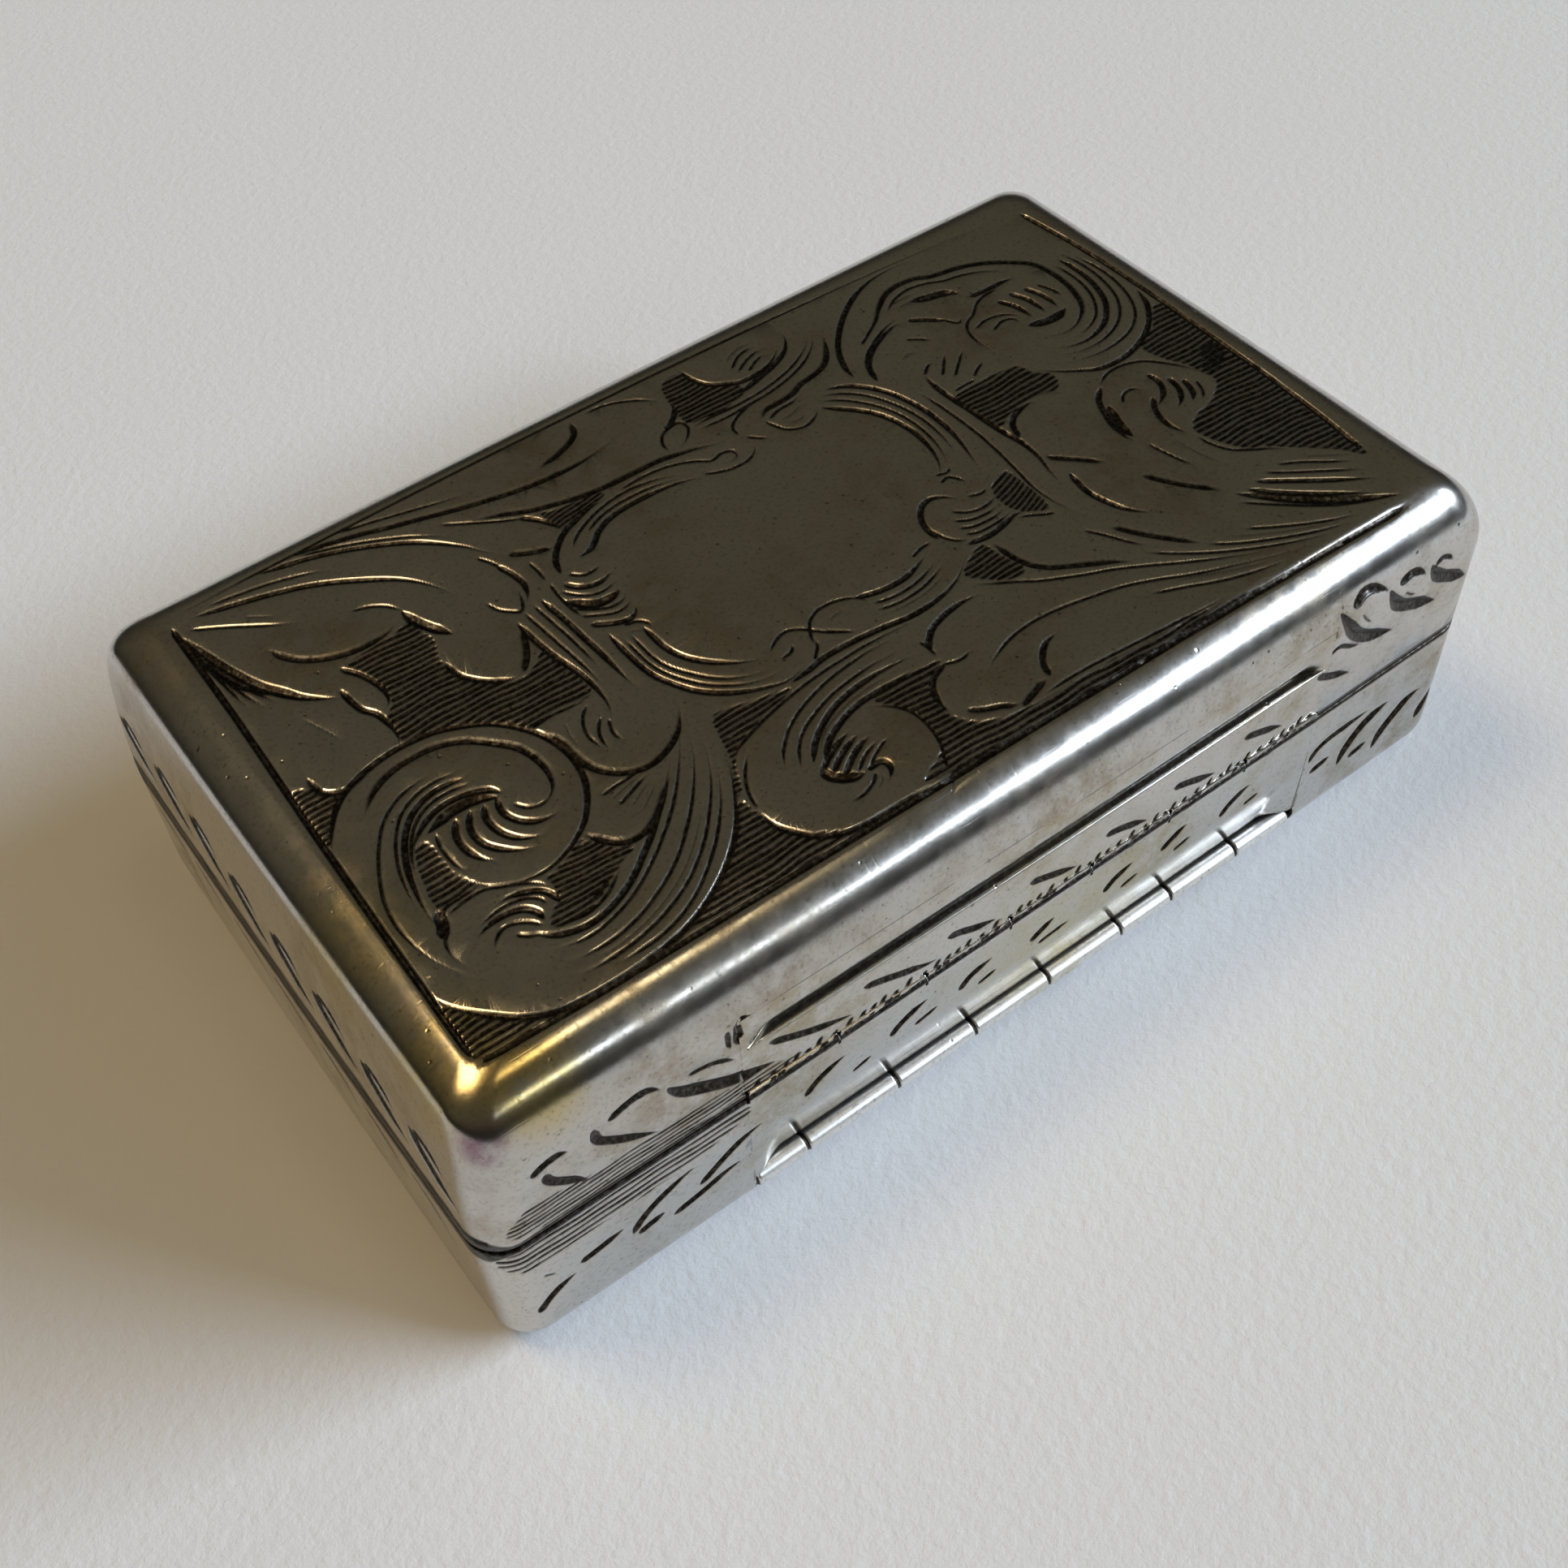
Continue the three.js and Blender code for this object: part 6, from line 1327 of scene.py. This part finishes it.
def aged_silver(name, tone, tarnish, deep, rough=0.17, gilt_inside=False, patches=(), bump=0.22, lip=False):
    """Old silver: bright where worn, warm and dull in patches, dark in the cuts (patina, and painted shade where the
    cut attribute carries it), with pits and fine scratches; with lip, a painted shadow along the parting line.
    """
    m, nt, bsdf, p = start(name)
    cut = node(nt, "Attribute", {"attribute_name": "cut"}).outputs["Fac"]
    inside = node(nt, "Attribute", {"attribute_name": "inside"}).outputs["Fac"]
    big = noise(nt, p, 0.16, 6, 0.6)
    mid = noise(nt, p, 0.9, 6, 0.65)
    fine = noise(nt, p, 7.0, 5, 0.6)
    dull = maths(nt, "MULTIPLY", ranged(nt, big, 0.40, 0.66), ranged(nt, mid, 0.32, 0.62))
    col = mix(nt, dull, tone, tarnish)
    speck = ranged(nt, noise(nt, p, 2.6, 3, 0.7), 0.66, 0.76)
    col = mix(nt, maths(nt, "MULTIPLY", speck, 0.5), col, deep)
    for at, r0, r1, colour, k in patches:
        col = mix(nt, maths(nt, "MULTIPLY", spot(nt, p, at, r0, r1), ranged(nt, mid, 0.30, 0.55, 0.2, k)), col, colour)
    # dark patina in the cuts; the cut attribute also carries painted shade from the hinge strips' coves and the
    # knuckles
    cut_patina_and_shade = ranged(nt, cut, 0.08, 0.40)
    # painted shadow: a dark band along the parting line, where the gap between lid and base lies in shade, wider at the
    # left end
    if lip:
        xyz = node(nt, "SeparateXYZ", None, Vector=p)
        off = maths(nt, "ABSOLUTE", maths(nt, "SUBTRACT", xyz.outputs[2], PART_Z))
        off = maths(nt, "MULTIPLY", off, ranged(nt, xyz.outputs[0], -18.3, -19.2, 1.0, 0.40))
        cut_patina_and_shade = maths(nt, "MAXIMUM", cut_patina_and_shade, maths(nt, "MULTIPLY", ranged(nt, off, 0.29, 0.20), ranged(nt, inside, 0.3, 0.05)))
    col = mix(nt, maths(nt, "MULTIPLY", cut_patina_and_shade, ranged(nt, fine, 0.25, 0.6, 0.86, 1.0)), col, deep)
    scr_a = ranged(nt, noise(nt, p, 1.0, 2, 0.5, (0.35, 7.0, 7.0), (0, 0, 0.5)), 0.66, 0.72)
    scr_b = ranged(nt, noise(nt, p, 1.0, 2, 0.5, (6.0, 0.4, 0.4), (0.2, 0.3, -0.35)), 0.67, 0.73)
    scratch = maths(nt, "MAXIMUM", scr_a, scr_b)
    pit = node(nt, "TexVoronoi", {"feature": "F1"}, Vector=p, Scale=1.35, Randomness=1.0).outputs["Distance"]
    pit = maths(nt, "MULTIPLY", ranged(nt, pit, 0.11, 0.05), ranged(nt, mid, 0.42, 0.56))
    col = mix(nt, maths(nt, "MULTIPLY", pit, 0.55), col, deep)
    peck = node(nt, "TexVoronoi", {"feature": "F1"}, Vector=p, Scale=3.4, Randomness=1.0).outputs["Distance"]
    peck = maths(nt, "MULTIPLY", ranged(nt, peck, 0.20, 0.06), ranged(nt, mid, 0.44, 0.58))
    col = mix(nt, maths(nt, "MULTIPLY", peck, 0.5), col, deep)
    col = mix(nt, ranged(nt, fine, 0.50, 0.68, 0.0, 0.22), col, deep)
    if gilt_inside:
        col = mix(nt, inside, col, mix(nt, ranged(nt, mid, 0.3, 0.7), (0.86, 0.60, 0.24, 1), (0.70, 0.43, 0.15, 1)))
    nt.links.new(col, bsdf.inputs["Base Color"])
    bsdf.inputs["Metallic"].default_value = 1.0
    r = ranged(nt, mid, 0.3, 0.7, rough - 0.01, rough + 0.03)
    r = maths(nt, "ADD", r, maths(nt, "MULTIPLY", cut_patina_and_shade, 0.14))
    r = maths(nt, "ADD", r, maths(nt, "MULTIPLY", dull, 0.08), True)
    nt.links.new(r, bsdf.inputs["Roughness"])
    h = maths(nt, "ADD", maths(nt, "MULTIPLY", fine, 0.14), maths(nt, "MULTIPLY", mid, 0.03))
    h = maths(nt, "SUBTRACT", h, maths(nt, "MULTIPLY", scratch, 0.07))
    h = maths(nt, "SUBTRACT", h, maths(nt, "MULTIPLY", pit, 0.8))
    b = node(nt, "Bump", None, Strength=bump, Distance=0.00005, Height=h)
    nt.links.new(b.outputs[0], bsdf.inputs["Normal"])
    return m


TONE, WARM, DEEP = (0.60, 0.575, 0.535, 1), (0.40, 0.345, 0.265, 1), (0.018, 0.014, 0.010, 1)
lid_silver = aged_silver("aged_silver_lid", TONE, WARM, DEEP, 0.18, True,
                         [((-18.0, -9.6, 12.1), 0.8, 3.0, (0.60, 0.50, 0.24, 1), 0.8),
                          ((-18.2, -5.0, 12.1), 0.8, 3.2, (0.58, 0.50, 0.28, 1), 0.7),
                          ((-16.4, -11.5, 12.0), 0.6, 2.2, (0.66, 0.51, 0.20, 1), 0.85),
                          ((-18.4, -11.8, 11.3), 0.3, 1.1, (0.30, 0.17, 0.24, 1), 0.8)], lip=True)
base_silver = aged_silver("aged_silver_base", TONE, WARM, DEEP, 0.18, True, lip=True)
strip_silver = aged_silver("aged_silver_strip", TONE, (0.42, 0.36, 0.25, 1), DEEP, 0.16, False,
                           [((1.0, -12.2, 3.4), 1.0, 6.0, (0.62, 0.53, 0.31, 1), 0.55)])
hinge_silver = aged_silver("aged_silver_hinge", (0.62, 0.60, 0.57, 1), WARM, DEEP, 0.2)
rod_silver = aged_silver("bright_silver_rod", (0.93, 0.91, 0.88, 1), (0.72, 0.66, 0.54, 1), (0.06, 0.05, 0.04, 1), 0.36)
gilt = aged_silver("worn_gilt", (0.88, 0.63, 0.27, 1), (0.66, 0.42, 0.16, 1), (0.16, 0.09, 0.035, 1), 0.22)
wire = aged_silver("drawn_wire", (0.62, 0.60, 0.57, 1), (0.36, 0.32, 0.27, 1), DEEP, 0.3)

m, nt, bsdf, p = start("sponge_fibre")
deepness = node(nt, "Attribute", {"attribute_name": "cut"}).outputs["Fac"]
a, b = noise(nt, p, 0.5, 5), noise(nt, p, 6.0, 6, 0.7)
col = mix(nt, ranged(nt, a, 0.35, 0.65), (0.60, 0.42, 0.19, 1), (0.44, 0.28, 0.11, 1))
# painted shade: darker deep in the pores, where shade falls inside the holes
col = mix(nt, ranged(nt, deepness, 0.2, 0.9), col, (0.13, 0.07, 0.025, 1))
nt.links.new(col, bsdf.inputs["Base Color"])
nt.links.new(ranged(nt, b, 0.3, 0.7, 0.82, 0.98), bsdf.inputs["Roughness"])
bp = node(nt, "Bump", None, Strength=0.7, Distance=0.00012, Height=b)
nt.links.new(bp.outputs[0], bsdf.inputs["Normal"])
sponge_mat = m


def finish_piece(o, material, body, slot_name, *nodes):
    o.data.materials.clear()
    o.data.materials.append(material)
    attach(o, body)
    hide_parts(*nodes)


finish_piece(lid, lid_silver, "lid", "lid_silver", "lid_cover")
finish_piece(base, base_silver, "base", "base_silver", "base_shell")
finish_piece(lid_strip, strip_silver, "lid", "strip_silver", "lid_hinge_bearer")
finish_piece(base_strip, strip_silver, "base", "strip_silver", "base_hinge_bearer")
finish_piece(rod, rod_silver, "base", "strip_silver", "base_bead_rod")
for o, owner, n in knuckles:
    finish_piece(o, hinge_silver, owner, "hinge_silver", n)
finish_piece(thumb, lid_silver, "lid", "strip_silver", "lid_thumbpiece")
finish_piece(bezel, gilt, "base", "gilt", "base_bezel")
finish_piece(seat_frame, gilt, "base", "gilt", "grille_seat_frame")
finish_piece(grille, gilt, "grille", "gilt", "grille_plate")
finish_piece(tab, gilt, "grille", "gilt", "grille_lift_tab")
for o, n in grille_tubes:
    finish_piece(o, gilt, "grille" if n == "grille_knuckle" else "base", "gilt", n)
finish_piece(sponge, sponge_mat, "base", "sponge", "sponge")
for n in ("lid_hinge_pin", "grille_pin"):
    NODES[n].data.materials.clear()
    NODES[n].data.materials.append(wire)

# ------------------------------------------------------------------ floor, light, camera
me = bpy.data.meshes.new("floor")
me.from_pydata([(-0.6, -0.6, 0), (0.6, -0.6, 0), (0.6, 0.6, 0), (-0.6, 0.6, 0)], [], [(0, 1, 2, 3)])
floor = bpy.data.objects.new("floor", me)
bpy.context.scene.collection.objects.link(floor)
m, nt, bsdf, p = start("pale_floor")
n1 = noise(nt, p, 0.02, 3)
nt.links.new(mix(nt, n1, (0.80, 0.79, 0.775, 1), (0.83, 0.825, 0.815, 1)), bsdf.inputs["Base Color"])
bsdf.inputs["Roughness"].default_value = 0.6
bsdf.inputs["Specular IOR Level"].default_value = 0.2
grain = noise(nt, p, 2.2, 5, 0.65)
nt.links.new(node(nt, "Bump", None, Strength=0.55, Distance=0.00009, Height=grain).outputs[0], bsdf.inputs["Normal"])
floor.data.materials.append(m)

scene = bpy.context.scene
scene.view_settings.view_transform = "Standard"
world = bpy.data.worlds.new("studio")
scene.world = world
world.use_nodes = True
nt = world.node_tree
back = nt.nodes["Background"]
upward = node(nt, "SeparateXYZ", None, Vector=node(nt, "TexCoord").outputs["Generated"]).outputs[2]
sky = mix(nt, ranged(nt, upward, 0.05, 0.62), (0.016, 0.015, 0.012, 1), (0.080, 0.072, 0.048, 1))
nt.links.new(sky, back.inputs[0])
back.inputs[1].default_value = 1.0


def softbox(name, direction, distance, size, power, colour):
    d = Vector(direction).normalized()
    l = bpy.data.lights.new(name, "AREA")
    l.shape, l.size, l.size_y, l.energy, l.color = "RECTANGLE", size[0], size[1], power, colour
    o = bpy.data.objects.new(name, l)
    scene.collection.objects.link(o)
    o.location = d * distance + Vector((0, 0, 0.008))
    o.rotation_euler = d.to_track_quat("Z", "Y").to_euler()
    return o


softbox("window", (0.71, -0.47, 0.50), 2.4, (1.6, 0.26), 65.0, (0.71, 0.83, 1.0))
softbox("lamp", (-0.28, 0.28, 0.91), 0.6, (0.19, 0.19), 0.82, (1.0, 0.74, 0.43))
softbox("pane", (0.30, -0.80, 0.52), 2.4, (1.0, 0.14), 3.2, (0.80, 0.89, 1.0))
softbox("ceiling_lamp", (0.17, -0.16, 0.97), 0.6, (0.14, 0.05), 0.13, (1.0, 0.82, 0.5))

cam = bpy.data.cameras.new("camera")
cam.lens, cam.sensor_width, cam.sensor_fit = 44.06, 36.0, "HORIZONTAL"
cam.clip_start, cam.clip_end = 0.002, 5.0
camera = bpy.data.objects.new("camera", cam)
scene.collection.objects.link(camera)
right, down, ahead = (0.80231, -0.59503, -0.0468), (-0.48465, -0.60378, -0.6329), (0.34839, 0.53052, -0.7728)
rot = Matrix(((right[0], -down[0], -ahead[0]), (right[1], -down[1], -ahead[1]), (right[2], -down[2], -ahead[2])))
camera.matrix_world = Matrix.Translation((-0.024569, -0.036305, 0.05386)) @ rot.to_4x4()
scene.camera = camera
